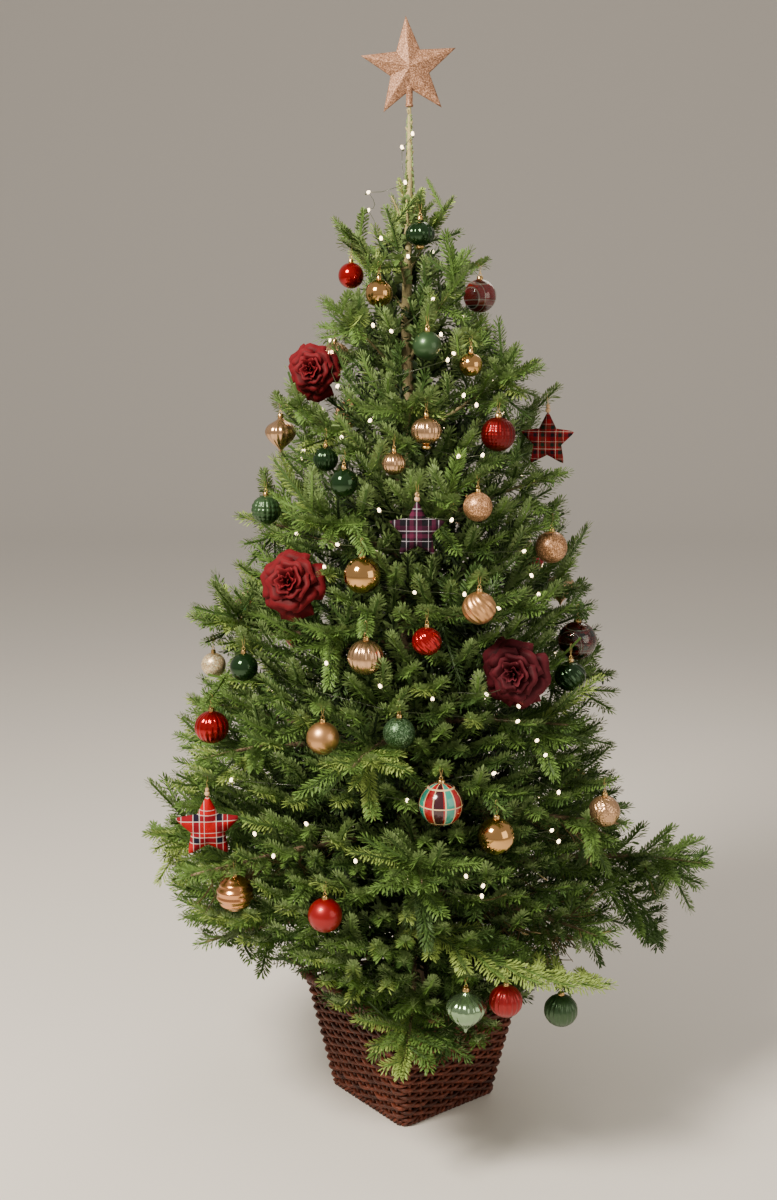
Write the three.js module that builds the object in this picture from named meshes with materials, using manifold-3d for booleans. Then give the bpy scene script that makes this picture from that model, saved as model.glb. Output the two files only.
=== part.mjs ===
// A Nordmann fir dressed as a Christmas tree, standing in a square willow basket filled with soil.
// Millimetres, +Z up, and the side that is seen first faces -Y. The origin is the middle of the basket's
// underside.
import * as THREE from "three";
import { mergeVertices } from "three/addons/utils/BufferGeometryUtils.js";
import Module from "manifold-3d";

const wasm = await Module();
wasm.setup();

// Driving dimensions, in millimetres and degrees.
const CLEARANCE = 0.3;

const BASKET = {
  height: 260,
  baseSide: 262,
  rimSide: 352,
  turn: 38,
  cornerRadius: 26,
  cornerPoints: 3,
  wall: 12,
  floor: 12,
  courses: 10,
  courseRelief: 2.6,
  borderHeight: 20,
  borderRelief: 5,
  borderShoulders: [0.3, 0.7],
  clear: 6,
};

const SOIL = { edgeBelowRim: 38, moundRise: 12, moundSide: 190, sideGap: 1 };

// Where the trunk's axis stands, from the middle of the basket.
const STAND = { x: -12, y: -30 };

const TRUNK = {
  leaderTip: 1993,
  top: 2058,
  footRadius: 30,
  leaderRadius: 4.2,
  topRadius: 2.6,
  taperPower: 0.9,
  flareRadius: 11,
  flareHeight: 38,
  flareLobes: 5,
  lobeDepth: 0.4,
  flareRings: [0, 14, 34, 70],
  sway: 7,
  swayLength: 820,
  spans: 11,
  sides: 10,
};

const STAR = {
  points: 5,
  centreHeight: 2107,
  outerRadius: 95,
  innerRadius: 39,
  halfDepth: 17,
  edgeHalfDepth: 2,
  tilt: 4.5,
  sleeveBottom: 2036,
  sleeveRadius: 7.4,
  sleeveBore: 5.2,
  boreDepth: 34,
  sleeveSides: 16,
};

// The bare side shoots that stand round the leader: their foot height, azimuths, length, lean and radii.
const CANDLES = {
  feet: [1800, 1815, 1828, 1806],
  azimuths: [195, 330, 120, 262],
  lengths: [78, 70, 84, 62],
  lean: 26,
  rootRadius: 3.2,
  tipRadius: 2.2,
  sides: 5,
};

// The boughs stand round the trunk in tiers that rise as one spiral from the seam at the back. Each
// entry holds where a tier starts: its height, the boughs' reach, how much of it is added towards the
// right, and their rise for each millimetre of reach. Between two entries all four change evenly.
const SEAM = 90;
const SPIRAL = [
  { height: 365, reach: 405, skew: 0, rise: -0.02 },
  { height: 515, reach: 555, skew: -15, rise: 0.03 },
  { height: 695, reach: 475, skew: -34, rise: 0.15 },
  { height: 885, reach: 415, skew: -16, rise: 0.22 },
  { height: 1078, reach: 360, skew: 0, rise: 0.32 },
  { height: 1268, reach: 312, skew: 12, rise: 0.46 },
  { height: 1448, reach: 222, skew: 20, rise: 0.72 },
  { height: 1615, reach: 138, skew: -18, rise: 1.15 },
  { height: 1765, reach: 74, skew: 0, rise: 1.8 },
];

// The azimuths of each tier's boughs, counted on from the seam. The lowest tiers have a bare length
// of bough before their foliage; on the others the foliage grows from the trunk.
const TIERS = [
  { azimuths: [140, 202, 274, 318, 354, 405], bare: 150 },
  { azimuths: [122, 178, 228, 272, 320, 392], bare: 140 },
  { azimuths: [112, 164, 208, 258, 312, 362, 420], bare: 0 },
  { azimuths: [130, 186, 240, 290, 346, 408], bare: 0 },
  { azimuths: [116, 170, 226, 284, 334, 392], bare: 0 },
  { azimuths: [136, 196, 266, 336, 406], bare: 0 },
  { azimuths: [126, 214, 304, 390], bare: 0 },
  { azimuths: [166, 252, 344, 430], bare: 0 },
];

// The boughs that stand out from the rule: the one that hangs over the basket's front corner, and the
// longest one, low on the right.
const HANGING = { tier: 0, index: 2, reach: 425, rise: -0.42 };
const LONGEST = { tier: 0, index: 4, reach: 610, rise: 0.15 };

const CROWN = {
  top: 1905,
  lowest: 150,
  skirtHeight: 372,
  skirtSlope: -0.85,
  gap: 4,
  reachLow: 0.95,
  reachSpread: 0.1,
  riseJitter: 0.05,
  swing: 8,
  arch: 0.04,
};

// A limb's radius at the trunk is a share of its reach, and it tapers to a share of that at its tip. The
// stem inside a mass ends part of the way along the spray at the bough's tip.
const LIMB = {
  thickness: 0.021,
  tipShare: 0.16,
  boughSides: 6,
  boughSteps: 3,
  stemSides: 3,
  stemSteps: 2,
  tipCover: 0.4,
};

// How sprays stand round a bough: one after another they turn by a fixed step about it.
const GROWTH = {
  perSpray: 36,
  trials: 150,
  firstShare: 0.14,
  lastShare: 0.82,
  turnStep: 137.5,
  angleNear: 74,
  angleFar: 56,
  angleJitter: 8,
  rollSpread: 90,
  lengthShare: 0.36,
  lengthBase: 170,
  lengthSpread: 0.22,
  spacing: 0.165,
};

const FIT = { longest: 250, shortest: 58, trials: 11, shrink: 0.88 };

// A spray of shoots, with its sizes as shares of its length. A pair of side shoots is given by where
// its tips lie and where the notches beyond them lie. The marks stand along the middle shoot.
const SPRAY = {
  markShares: [0.35, 0.6, 0.8, 1],
  tipLength: 200,
  tipFirstShare: 0.2,
  rootHalf: 0.035,
  halfDepth: 0.05,
  ridgeAt: 0.4,
  small: [{ tip: [0.62, 0.42], notch: [0.6, 0.17] }],
  large: [
    { tip: [0.5, 0.41], notch: [0.48, 0.22] },
    { tip: [0.77, 0.32], notch: [0.74, 0.14] },
  ],
  largeFrom: 212,
};

const COLOURS = {
  bark: 0x6e5a45,
  boughBark: 0x5d4a38,
  needles: 0x3c5a2a,
  willow: 0x5e3326,
  soil: 0x2f241c,
  star: 0xc79a5e,
};

const UP = new THREE.Vector3(0, 0, 1);
const radians = THREE.MathUtils.degToRad;
const lerp = THREE.MathUtils.lerp;

// A repeatable stream of numbers from 0 to 1.
function seeded(seed) {
  let state = Math.imul(seed + 1, 2654435761) >>> 0;
  const next = () => {
    state = (Math.imul(state, 1664525) + 1013904223) >>> 0;
    return state / 4294967296;
  };
  for (let i = 0; i < 3; i++) next();
  return next;
}

// Closed geometry from corner points and triangles.
function geometryOf(points, triangles) {
  const geometry = new THREE.BufferGeometry();
  const numbers = points.flatMap((point) => point.toArray());
  geometry.setAttribute("position", new THREE.Float32BufferAttribute(numbers, 3));
  geometry.setIndex(triangles.flat());
  return geometry;
}

// A skin over rings of equal count, each counter-clockwise from above, with a flat cap at both ends.
function loft(rings) {
  const count = rings[0].length;
  const triangles = [];
  for (let ring = 0; ring + 1 < rings.length; ring++) {
    for (let i = 0; i < count; i++) {
      const a = ring * count + i;
      const b = ring * count + ((i + 1) % count);
      triangles.push([a, b, b + count], [a, b + count, a + count]);
    }
  }
  const last = (rings.length - 1) * count;
  for (let i = 1; i + 1 < count; i++) triangles.push([0, i + 1, i], [last, last + i, last + i + 1]);
  return geometryOf(rings.flat(), triangles);
}

function solidOf(geometry) {
  const bare = geometry.clone();
  bare.deleteAttribute("normal");
  bare.deleteAttribute("uv");
  const merged = mergeVertices(bare, 1e-4);
  return new wasm.Manifold(
    new wasm.Mesh({
      numProp: 3,
      vertProperties: merged.attributes.position.array,
      triVerts: new Uint32Array(merged.index.array),
    }),
  );
}

// The largest body of a solid: loose scraps and sealed hollows are dropped.
function largestBody(solid) {
  return solid.decompose().reduce((best, body) => (body.volume() > best.volume() ? body : best));
}

function geometryFrom(solid) {
  const mesh = largestBody(solid).getMesh();
  const geometry = new THREE.BufferGeometry();
  geometry.setAttribute("position", new THREE.BufferAttribute(mesh.vertProperties, 3));
  geometry.setIndex(new THREE.BufferAttribute(mesh.triVerts, 1));
  return geometry;
}

// A square with round corners, turned as the basket stands.
function basketRing(side, z) {
  const { cornerRadius, cornerPoints, turn } = BASKET;
  const ring = [];
  for (let corner = 0; corner < 4; corner++) {
    const middle = new THREE.Vector2(side / 2 - cornerRadius, side / 2 - cornerRadius);
    middle.rotateAround(new THREE.Vector2(), (corner * Math.PI) / 2);
    for (let i = 0; i < cornerPoints; i++) {
      const angle = ((corner + i / (cornerPoints - 1)) * Math.PI) / 2;
      const point = new THREE.Vector2(Math.cos(angle), Math.sin(angle));
      point.multiplyScalar(cornerRadius).add(middle);
      point.rotateAround(new THREE.Vector2(), radians(turn));
      ring.push(new THREE.Vector3(point.x, point.y, z));
    }
  }
  return ring;
}

const basketSide = (z) => lerp(BASKET.baseSide, BASKET.rimSide, z / BASKET.height);

// The wall swells and narrows once for each woven course, and ends in a thicker border.
function makeBasket() {
  const { height, wall, floor, courses, courseRelief, borderHeight, borderRelief, borderShoulders } = BASKET;
  const courseHeight = (height - borderHeight) / courses;
  const rings = [];
  for (let course = 0; course < courses; course++) {
    const z = course * courseHeight;
    rings.push(basketRing(basketSide(z) - 2 * courseRelief, z));
    rings.push(basketRing(basketSide(z) + courseRelief, z + courseHeight / 2));
  }
  const borderFoot = height - borderHeight;
  rings.push(basketRing(basketSide(borderFoot) - 2 * courseRelief, borderFoot));
  for (const share of borderShoulders) {
    rings.push(basketRing(basketSide(height) + 2 * borderRelief, borderFoot + borderHeight * share));
  }
  rings.push(basketRing(basketSide(height), height));
  rings.push(basketRing(basketSide(height) - 2 * wall - borderRelief, height));
  rings.push(basketRing(basketSide(borderFoot) - 2 * wall, borderFoot));
  rings.push(basketRing(basketSide(floor) - 2 * wall, floor));
  return loft(rings);
}

const soilEdge = BASKET.height - SOIL.edgeBelowRim;
const soilTop = soilEdge + SOIL.moundRise;
const trunkFoot = soilTop + CLEARANCE;

function makeSoil() {
  const inset = 2 * (BASKET.wall + SOIL.sideGap);
  const foot = BASKET.floor + CLEARANCE;
  return loft([
    basketRing(basketSide(foot) - inset, foot),
    basketRing(basketSide(soilEdge) - inset, soilEdge),
    basketRing(SOIL.moundSide, soilTop),
  ]);
}

// The trunk's middle line sways a little between its foot and its top, which stand plumb.
function trunkAxis(z) {
  const run = (z - trunkFoot) / TRUNK.swayLength;
  const ease = Math.sin((Math.PI * (z - trunkFoot)) / (TRUNK.top - trunkFoot));
  return new THREE.Vector3(
    TRUNK.sway * ease * Math.sin(2 * Math.PI * run),
    TRUNK.sway * ease * Math.cos(2 * Math.PI * run),
    z,
  );
}

function trunkRadius(z) {
  if (z > TRUNK.leaderTip) {
    return lerp(TRUNK.leaderRadius, TRUNK.topRadius, (z - TRUNK.leaderTip) / (TRUNK.top - TRUNK.leaderTip));
  }
  const left = (TRUNK.leaderTip - z) / (TRUNK.leaderTip - trunkFoot);
  return lerp(TRUNK.leaderRadius, TRUNK.footRadius, Math.pow(left, TRUNK.taperPower));
}

// The trunk's skin, or one that stands off it by what it is grown.
function makeTrunk(grown) {
  const { sides, spans, flareRadius, flareHeight, flareLobes, lobeDepth, flareRings } = TRUNK;
  const heights = flareRings.map((rise) => trunkFoot + rise);
  const flareTop = heights.at(-1);
  for (let i = 1; i <= spans; i++) heights.push(lerp(flareTop, TRUNK.leaderTip, i / spans));
  heights.push(TRUNK.top);
  const rings = heights.map((z) => {
    const middle = trunkAxis(z);
    const flare = flareRadius * Math.exp(-(z - trunkFoot) / flareHeight);
    return Array.from({ length: sides }, (_, i) => {
      const angle = (2 * Math.PI * i) / sides;
      const radius = trunkRadius(z) + flare * (1 + lobeDepth * Math.cos(flareLobes * angle)) + grown;
      return new THREE.Vector3(middle.x + radius * Math.cos(angle), middle.y + radius * Math.sin(angle), z);
    });
  });
  return loft(rings);
}

// A ring of corners square to a direction.
function ringAround(point, direction, radius, sides) {
  const across = new THREE.Vector3().crossVectors(UP, direction).normalize();
  const over = new THREE.Vector3().crossVectors(direction, across);
  return Array.from({ length: sides }, (_, k) => {
    const angle = (2 * Math.PI * k) / sides + Math.PI / 2;
    const corner = across.clone().multiplyScalar(Math.cos(angle) * radius);
    return corner.addScaledVector(over, Math.sin(angle) * radius).add(point);
  });
}

// The trunk with its bare side shoots grown on.
function addCandles(trunk) {
  const { feet, azimuths, lengths, lean, rootRadius, tipRadius, sides } = CANDLES;
  return feet.reduce((solid, height, i) => {
    const foot = trunkAxis(height);
    const direction = new THREE.Vector3(Math.sin(radians(lean)), 0, Math.cos(radians(lean)));
    direction.applyAxisAngle(UP, radians(azimuths[i]));
    const tip = foot.clone().addScaledVector(direction, lengths[i]);
    const root = ringAround(foot, direction, rootRadius, sides);
    return solid.add(solidOf(loft([root, ringAround(tip, direction, tipRadius, sides)])));
  }, solidOf(trunk));
}

// The spiral's values at a tier and a part of one: 2.5 is halfway round the third tier.
function spiralAt(turns) {
  const index = Math.min(Math.max(Math.floor(turns), 0), SPIRAL.length - 2);
  const [low, high] = [SPIRAL[index], SPIRAL[index + 1]];
  const mix = (key) => lerp(low[key], high[key], turns - index);
  return { height: mix("height"), reach: mix("reach"), skew: mix("skew"), rise: mix("rise") };
}

const turnsAt = (tier, azimuth) => tier + (azimuth - SEAM) / 360;

// What one bough is to be: the spiral's values where it stands, varied by its own stream of numbers.
function planBough(tier, index) {
  const { azimuths, bare } = TIERS[tier];
  const random = seeded(tier * 31 + index);
  const at = spiralAt(turnsAt(tier, azimuths[index]));
  const azimuth = radians(azimuths[index]);
  const plan = {
    tier,
    random,
    azimuth,
    reach: (at.reach + at.skew * Math.cos(azimuth)) * (CROWN.reachLow + CROWN.reachSpread * random()),
    rise: at.rise + (2 * random() - 1) * CROWN.riseJitter,
    swing: radians((2 * random() - 1) * CROWN.swing),
    foot: trunkAxis(at.height),
    bare,
  };
  for (const { tier: oddTier, index: oddIndex, ...odd } of [HANGING, LONGEST]) {
    if (oddTier === tier && oddIndex === index) Object.assign(plan, odd);
  }
  return plan;
}

// A point of the bough's middle line at a distance from the trunk's axis.
function boughPoint(plan, distance) {
  const share = distance / plan.reach;
  const turn = plan.azimuth + plan.swing * share * share;
  const arch = 4 * CROWN.arch * plan.reach * share * (1 - share);
  const point = new THREE.Vector3(distance, 0, plan.rise * distance + arch);
  return point.applyAxisAngle(UP, turn).add(plan.foot);
}

// The direction in which the bough's middle line runs, from two points close on either side.
function boughDirection(plan, distance) {
  const step = 2;
  return boughPoint(plan, distance + step).sub(boughPoint(plan, distance - step)).normalize();
}

// The height of the surface that parts the foliage of a tier from that of the next one up: it lies
// halfway to where the spiral comes round again. The lowest surface falls away as a skirt.
function ceilingOf(tier, azimuth, distance) {
  if (tier < 0) return Math.max(CROWN.lowest, CROWN.skirtHeight + CROWN.skirtSlope * distance);
  if (tier === TIERS.length - 1) return CROWN.top;
  const halfTurn = 0.5;
  const { height, rise } = spiralAt(turnsAt(tier, azimuth) + halfTurn);
  return height + rise * distance;
}

// The azimuth of a point in degrees, counted on from the seam.
function azimuthOf(point) {
  const degrees = THREE.MathUtils.radToDeg(Math.atan2(point.y, point.x));
  return SEAM + ((((degrees - SEAM) % 360) + 360) % 360);
}

// Whether a point, counted from the trunk's axis, lies in the basket or close to it.
function insideBasket(point) {
  if (point.z > BASKET.height + BASKET.clear) return false;
  const flat = new THREE.Vector2(point.x + STAND.x, point.y + STAND.y);
  flat.rotateAround(new THREE.Vector2(), -radians(BASKET.turn));
  const half = basketSide(Math.max(point.z, 0)) / 2 + BASKET.borderRelief + BASKET.clear;
  return Math.abs(flat.x) < half && Math.abs(flat.y) < half;
}

// Whether a point lies in the bough's own part of the crown: between the tiers below and above,
// between its neighbours' slices, and clear of the trunk and the basket.
function inOwnSpace(plan, borders, point) {
  const distance = Math.hypot(point.x, point.y);
  const azimuth = azimuthOf(point);
  const floor = ceilingOf(plan.tier - 1, azimuth, distance) + CROWN.gap;
  const ceiling = ceilingOf(plan.tier, azimuth, distance) - CROWN.gap;
  if (point.z < floor || point.z > ceiling || distance > plan.reach) return false;
  const axis = trunkAxis(point.z);
  const fromTrunk = Math.hypot(point.x - axis.x, point.y - axis.y);
  if (fromTrunk < trunkRadius(point.z) + CROWN.gap || insideBasket(point)) return false;
  return borders.every((normal) => point.x * normal.x + point.y * normal.y > CROWN.gap);
}

// The normals of the two upright planes through the axis that part a bough's slice from its
// neighbours', or from the seam.
function bordersOf(plans, index) {
  const own = plans[index].azimuth;
  const low = index > 0 ? (own + plans[index - 1].azimuth) / 2 : radians(SEAM);
  const high = index + 1 < plans.length ? (own + plans[index + 1].azimuth) / 2 : radians(SEAM + 360);
  return [
    new THREE.Vector2(-Math.sin(low), Math.cos(low)),
    new THREE.Vector2(Math.sin(high), -Math.cos(high)),
  ];
}

// The side shoots of a spray: long ones have two pairs.
const shootsOf = (length) => (length > SPRAY.largeFrom ? SPRAY.large : SPRAY.small);

// The corners of one flat spray in its own plane, as shares of its length.
function sprayOutline(length) {
  const side = shootsOf(length).flatMap(({ tip, notch }) => [tip, notch]);
  const other = side.map(([x, y]) => [x, -y]);
  return [[0, -SPRAY.rootHalf], ...other, [1, 0], ...side.reverse(), [0, SPRAY.rootHalf]];
}

// A spray's own directions: along its middle shoot, across its plane, and square to it.
function sprayFrame(direction, roll) {
  const across = new THREE.Vector3().crossVectors(UP, direction).normalize();
  const over = new THREE.Vector3().crossVectors(direction, across);
  return {
    along: direction,
    across: across.applyAxisAngle(direction, roll),
    over: over.applyAxisAngle(direction, roll),
  };
}

// The spray's corners in the crown: its outline, then the ridge point above and the one below.
function sprayPoints({ root, frame, length }) {
  const corners = sprayOutline(length).map(([x, y]) => [x, y, 0]);
  corners.push([SPRAY.ridgeAt, 0, SPRAY.halfDepth], [SPRAY.ridgeAt, 0, -SPRAY.halfDepth]);
  return corners.map(([x, y, z]) =>
    root
      .clone()
      .addScaledVector(frame.along, x * length)
      .addScaledVector(frame.across, y * length)
      .addScaledVector(frame.over, z * length),
  );
}

// A spray as a toothed blade that is thickest on the ridge.
function sprayGeometry(spray) {
  const points = sprayPoints(spray);
  const count = points.length - 2;
  const triangles = [];
  for (let i = 0; i < count; i++) {
    const next = (i + 1) % count;
    triangles.push([i, next, count], [next, i, count + 1]);
  }
  return geometryOf(points, triangles);
}

// The longest spray that fits from this root, or nothing where even the shortest leaves the space.
function fitSpray(plan, borders, root, frame, wanted) {
  let length = Math.min(wanted, FIT.longest);
  for (let trial = 0; trial < FIT.trials && length >= FIT.shortest; trial++) {
    const spray = { root, frame, length };
    const corners = sprayPoints(spray).slice(1, -3).concat(sprayPoints(spray).slice(-2));
    if (corners.every((p) => inOwnSpace(plan, borders, p))) return spray;
    length *= FIT.shrink;
  }
  return null;
}

// The points of a spray, beyond its root, that other sprays keep away from.
function sprayMarks(spray) {
  const { root, frame, length } = spray;
  const points = sprayPoints(spray);
  const middle = SPRAY.markShares.map((share) => root.clone().addScaledVector(frame.along, share * length));
  const tips = shootsOf(length).flatMap((_, i) => [points[1 + 2 * i], points[points.length - 4 - 2 * i]]);
  return [...middle, ...tips, ...tips.map((tip, i) => tip.clone().lerp(middle[i < 2 ? 0 : 1], 0.5))];
}

// Whether one spray's marks all keep a distance from the marks of the others.
function isClear(marks, others, spacing) {
  return others.every((other) => marks.every((mark) => mark.distanceTo(other) > spacing));
}

// Where on its bough a mass begins, counted from the trunk's axis.
const foliageStart = (plan) => plan.bare || trunkRadius(plan.foot.z);

// Where the spray at the bough's tip begins.
function tipStart(plan) {
  const run = SPRAY.tipLength / Math.hypot(1, plan.rise);
  return Math.max(plan.reach - run, lerp(foliageStart(plan), plan.reach, SPRAY.tipFirstShare));
}

// The sprays of one mass: one at its tip, then as many more as keep clear of each other.
function planSprays(plan, borders) {
  const { random } = plan;
  const spread = (range) => (2 * random() - 1) * range;
  const start = foliageStart(plan);
  const span = plan.reach - start;
  const tipRoot = boughPoint(plan, tipStart(plan));
  const towards = boughPoint(plan, plan.reach).sub(tipRoot);
  const frame = sprayFrame(towards.clone().normalize(), radians(spread(GROWTH.rollSpread)));
  const sprays = [{ root: tipRoot, frame, length: towards.length() }];
  const taken = sprayMarks(sprays[0]);
  const wantedCount = 1 + Math.round(span / GROWTH.perSpray);
  for (let trial = 0; trial < GROWTH.trials && sprays.length < wantedCount; trial++) {
    const share = lerp(GROWTH.firstShare, GROWTH.lastShare, Math.sqrt(random()));
    const distance = start + share * span;
    const angle = radians(lerp(GROWTH.angleNear, GROWTH.angleFar, share) + spread(GROWTH.angleJitter));
    const turn = radians(GROWTH.turnStep * trial);
    const roll = radians(spread(GROWTH.rollSpread));
    const wanted = GROWTH.lengthBase + GROWTH.lengthShare * (1 - share) * span;
    const { along, across, over } = sprayFrame(boughDirection(plan, distance), 0);
    const direction = along
      .clone()
      .multiplyScalar(Math.cos(angle))
      .addScaledVector(across, Math.sin(angle) * Math.cos(turn))
      .addScaledVector(over, Math.sin(angle) * Math.sin(turn))
      .normalize();
    const longest = wanted * (1 - GROWTH.lengthSpread * random());
    const spray = fitSpray(plan, borders, boughPoint(plan, distance), sprayFrame(direction, roll), longest);
    const marks = spray ? sprayMarks(spray) : [];
    if (spray && isClear(marks, taken, GROWTH.spacing * spray.length)) {
      sprays.push(spray);
      taken.push(...marks);
    }
  }
  return sprays;
}

function limbRadius(plan, distance) {
  return LIMB.thickness * plan.reach * lerp(1, LIMB.tipShare, distance / plan.reach);
}

// The bough's wood between two distances from the trunk's axis.
function boughWood(plan, from, to, steps, sides) {
  const rings = Array.from({ length: steps + 1 }, (_, i) => {
    const distance = lerp(from, to, i / steps);
    const direction = boughDirection(plan, distance);
    return ringAround(boughPoint(plan, distance), direction, limbRadius(plan, distance), sides);
  });
  return solidOf(loft(rings));
}

// The bare length of a bough, cut clear of the trunk.
function makeBough(plan, grownTrunk) {
  return geometryFrom(boughWood(plan, 0, plan.bare, LIMB.boughSteps, LIMB.boughSides).subtract(grownTrunk));
}

// A mass: the stem that carries on from the bough's tip, or from the trunk, with its sprays grown on.
function makeMass(plan, borders, grownTrunk) {
  const sprays = planSprays(plan, borders);
  const start = plan.bare ? plan.bare + CLEARANCE : 0;
  const end = lerp(tipStart(plan), plan.reach, LIMB.tipCover);
  const stem = boughWood(plan, start, end, LIMB.stemSteps, LIMB.stemSides);
  const grown = sprays.reduce((solid, spray) => solid.add(solidOf(sprayGeometry(spray))), stem);
  return geometryFrom(plan.bare ? grown : grown.subtract(grownTrunk));
}

// A five-pointed star with a puffed front and back, on a sleeve that slips over the leader.
function makeStar() {
  const { outerRadius, innerRadius, halfDepth, edgeHalfDepth, tilt, centreHeight } = STAR;
  const corners = 2 * STAR.points;
  const rim = (depth) =>
    Array.from({ length: corners }, (_, i) => {
      const angle = Math.PI / 2 + radians(tilt) + (2 * Math.PI * i) / corners;
      const radius = i % 2 === 0 ? outerRadius : innerRadius;
      return new THREE.Vector3(radius * Math.cos(angle), depth, centreHeight + radius * Math.sin(angle));
    });
  const points = [...rim(-edgeHalfDepth), ...rim(edgeHalfDepth)];
  points.push(new THREE.Vector3(0, -halfDepth, centreHeight), new THREE.Vector3(0, halfDepth, centreHeight));
  const [front, back] = [2 * corners, 2 * corners + 1];
  const triangles = [];
  for (let i = 0; i < corners; i++) {
    const next = (i + 1) % corners;
    triangles.push([front, i, next], [back, corners + next, corners + i]);
    triangles.push([i, corners + i, corners + next], [i, corners + next, next]);
  }
  const axis = trunkAxis(TRUNK.top);
  const tube = (radius, low, high) =>
    solidOf(
      new THREE.CylinderGeometry(radius, radius, high - low, STAR.sleeveSides)
        .rotateX(Math.PI / 2)
        .translate(axis.x, axis.y, (low + high) / 2),
    );
  const sleeve = tube(STAR.sleeveRadius, STAR.sleeveBottom, centreHeight);
  const bore = tube(STAR.sleeveBore, STAR.sleeveBottom - 1, STAR.sleeveBottom + STAR.boreDepth);
  return geometryFrom(solidOf(geometryOf(points, triangles)).add(sleeve).subtract(bore));
}

function finish(colour, roughness, metalness = 0) {
  return new THREE.MeshStandardMaterial({ color: colour, roughness, metalness });
}

const FINISHES = {
  bark: finish(COLOURS.bark, 0.9),
  boughBark: finish(COLOURS.boughBark, 0.9),
  needles: finish(COLOURS.needles, 0.65),
  willow: finish(COLOURS.willow, 0.6),
  soil: finish(COLOURS.soil, 0.95),
  star: finish(COLOURS.star, 0.4, 0.6),
};

const tree = new THREE.Group();
tree.name = "christmas_tree";

function addMesh(group, name, geometry, material) {
  const mesh = new THREE.Mesh(geometry, material);
  mesh.name = name;
  group.add(mesh);
}

addMesh(tree, "basket", makeBasket(), FINISHES.willow);
addMesh(tree, "soil", makeSoil(), FINISHES.soil);

const plant = new THREE.Group();
plant.position.set(STAND.x, STAND.y, 0);
tree.add(plant);
addMesh(plant, "trunk", geometryFrom(addCandles(makeTrunk(0))), FINISHES.bark);
addMesh(plant, "star_topper", makeStar(), FINISHES.star);

const grownTrunk = solidOf(makeTrunk(CLEARANCE));
TIERS.forEach(({ azimuths }, tier) => {
  const plans = azimuths.map((_, index) => planBough(tier, index));
  plans.forEach((plan, index) => {
    const place = `${tier + 1}_${index + 1}`;
    if (plan.bare) addMesh(plant, `bough_${place}`, makeBough(plan, grownTrunk), FINISHES.boughBark);
    addMesh(plant, `foliage_${place}`, makeMass(plan, bordersOf(plans, index), grownTrunk), FINISHES.needles);
  });
});

export default tree;
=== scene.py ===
"""Builds the looks of a Nordmann fir dressed as a Christmas tree in a square willow basket.

The tables of sizes are in millimetres and degrees, as on the tree's solids, and meshes are in metres.
+Z is up and the side that is seen first faces -Y.
"""

import functools
import math
from types import SimpleNamespace as Sizes

import bmesh
import bpy
import numpy as np
from mathutils import Matrix, Vector, noise


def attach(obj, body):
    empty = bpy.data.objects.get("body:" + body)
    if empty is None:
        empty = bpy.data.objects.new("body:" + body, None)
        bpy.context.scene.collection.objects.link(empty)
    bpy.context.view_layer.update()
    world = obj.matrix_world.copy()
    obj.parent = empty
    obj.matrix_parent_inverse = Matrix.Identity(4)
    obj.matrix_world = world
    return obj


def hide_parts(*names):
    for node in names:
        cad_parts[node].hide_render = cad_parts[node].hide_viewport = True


bl_info = {
    "name": "Dressed Fir in a Basket",
    "version": (1, 0, 0),
    "blender": (4, 5, 0),
    "location": "View3D > Sidebar > Fir",
    "description": "Grows a dressed Nordmann fir in a woven willow basket around its solids",
    "category": "Object",
}

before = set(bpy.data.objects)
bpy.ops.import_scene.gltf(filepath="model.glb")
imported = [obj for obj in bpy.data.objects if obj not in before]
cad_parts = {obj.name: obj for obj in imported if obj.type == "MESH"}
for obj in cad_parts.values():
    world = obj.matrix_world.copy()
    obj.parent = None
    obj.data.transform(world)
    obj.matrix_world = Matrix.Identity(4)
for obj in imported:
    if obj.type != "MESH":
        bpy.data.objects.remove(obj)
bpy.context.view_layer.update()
NODES = sorted(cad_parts)
MM = 0.001
UP = np.array([0.0, 0.0, 1.0])

# The tree's own sizes, the same as those of its solids.
BASKET = Sizes(height=260, base_side=262, rim_side=352, turn=38, corner_radius=26, floor=12,
               border_relief=5, clear=6)
SOIL = Sizes(edge_below_rim=38, mound_rise=12)
STAND = np.array([-12.0, -30.0, 0.0])
CLEARANCE = 0.3
TRUNK = Sizes(leader_tip=1993, top=2058, foot_radius=30, leader_radius=4.2, top_radius=2.6, taper_power=0.9,
              flare_radius=11, flare_height=38, flare_lobes=5, lobe_depth=0.4, sway=7, sway_length=820)
STAR = Sizes(points=5, centre_height=2107, outer_radius=95, inner_radius=39, half_depth=17,
             edge_half_depth=2, tilt=4.5, sleeve_bottom=2036, sleeve_radius=7.4, sleeve_bore=5.2)
CANDLES = Sizes(feet=[1800, 1815, 1828, 1806], azimuths=[195, 330, 120, 262], lengths=[78, 70, 84, 62],
                lean=26, root_radius=3.2, tip_radius=2.2)

# The collar that swells the trunk round each bough's foot: its share of the bough, its height and turn.
COLLAR = Sizes(share=0.35, height=14, turn=0.5)

# The trunk's uneven bark: the radius at which it is a millimetre deep, and the least and most of it.
TRUNK_GRAIN = Sizes(full_radius=40, least=0.04, most=0.6)

# The boughs' bark: how deep in the trunk they begin, how short of their mass's tip they end, how their feet
# swell, and how uneven they are.
BOUGH = Sizes(foot_share=0.3, tip_gap=14, swelling=0.5, swell_length=18, grain=0.05)

# The stretch of the trunk that shows between the boughs in the photograph.
SEEN_TRUNK = Sizes(heights=(1490, 1810), step=29, width=10)

# The buds along the leader, and the heights between which it carries short needles itself.
BUDS = Sizes(heights=(1800, 2030), apart=11, length=8, radius=2.3, rise=1.5)
LEADER_SHOOTS = [(1870, 1920), (1920, 1970), (1970, 2020)]

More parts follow.
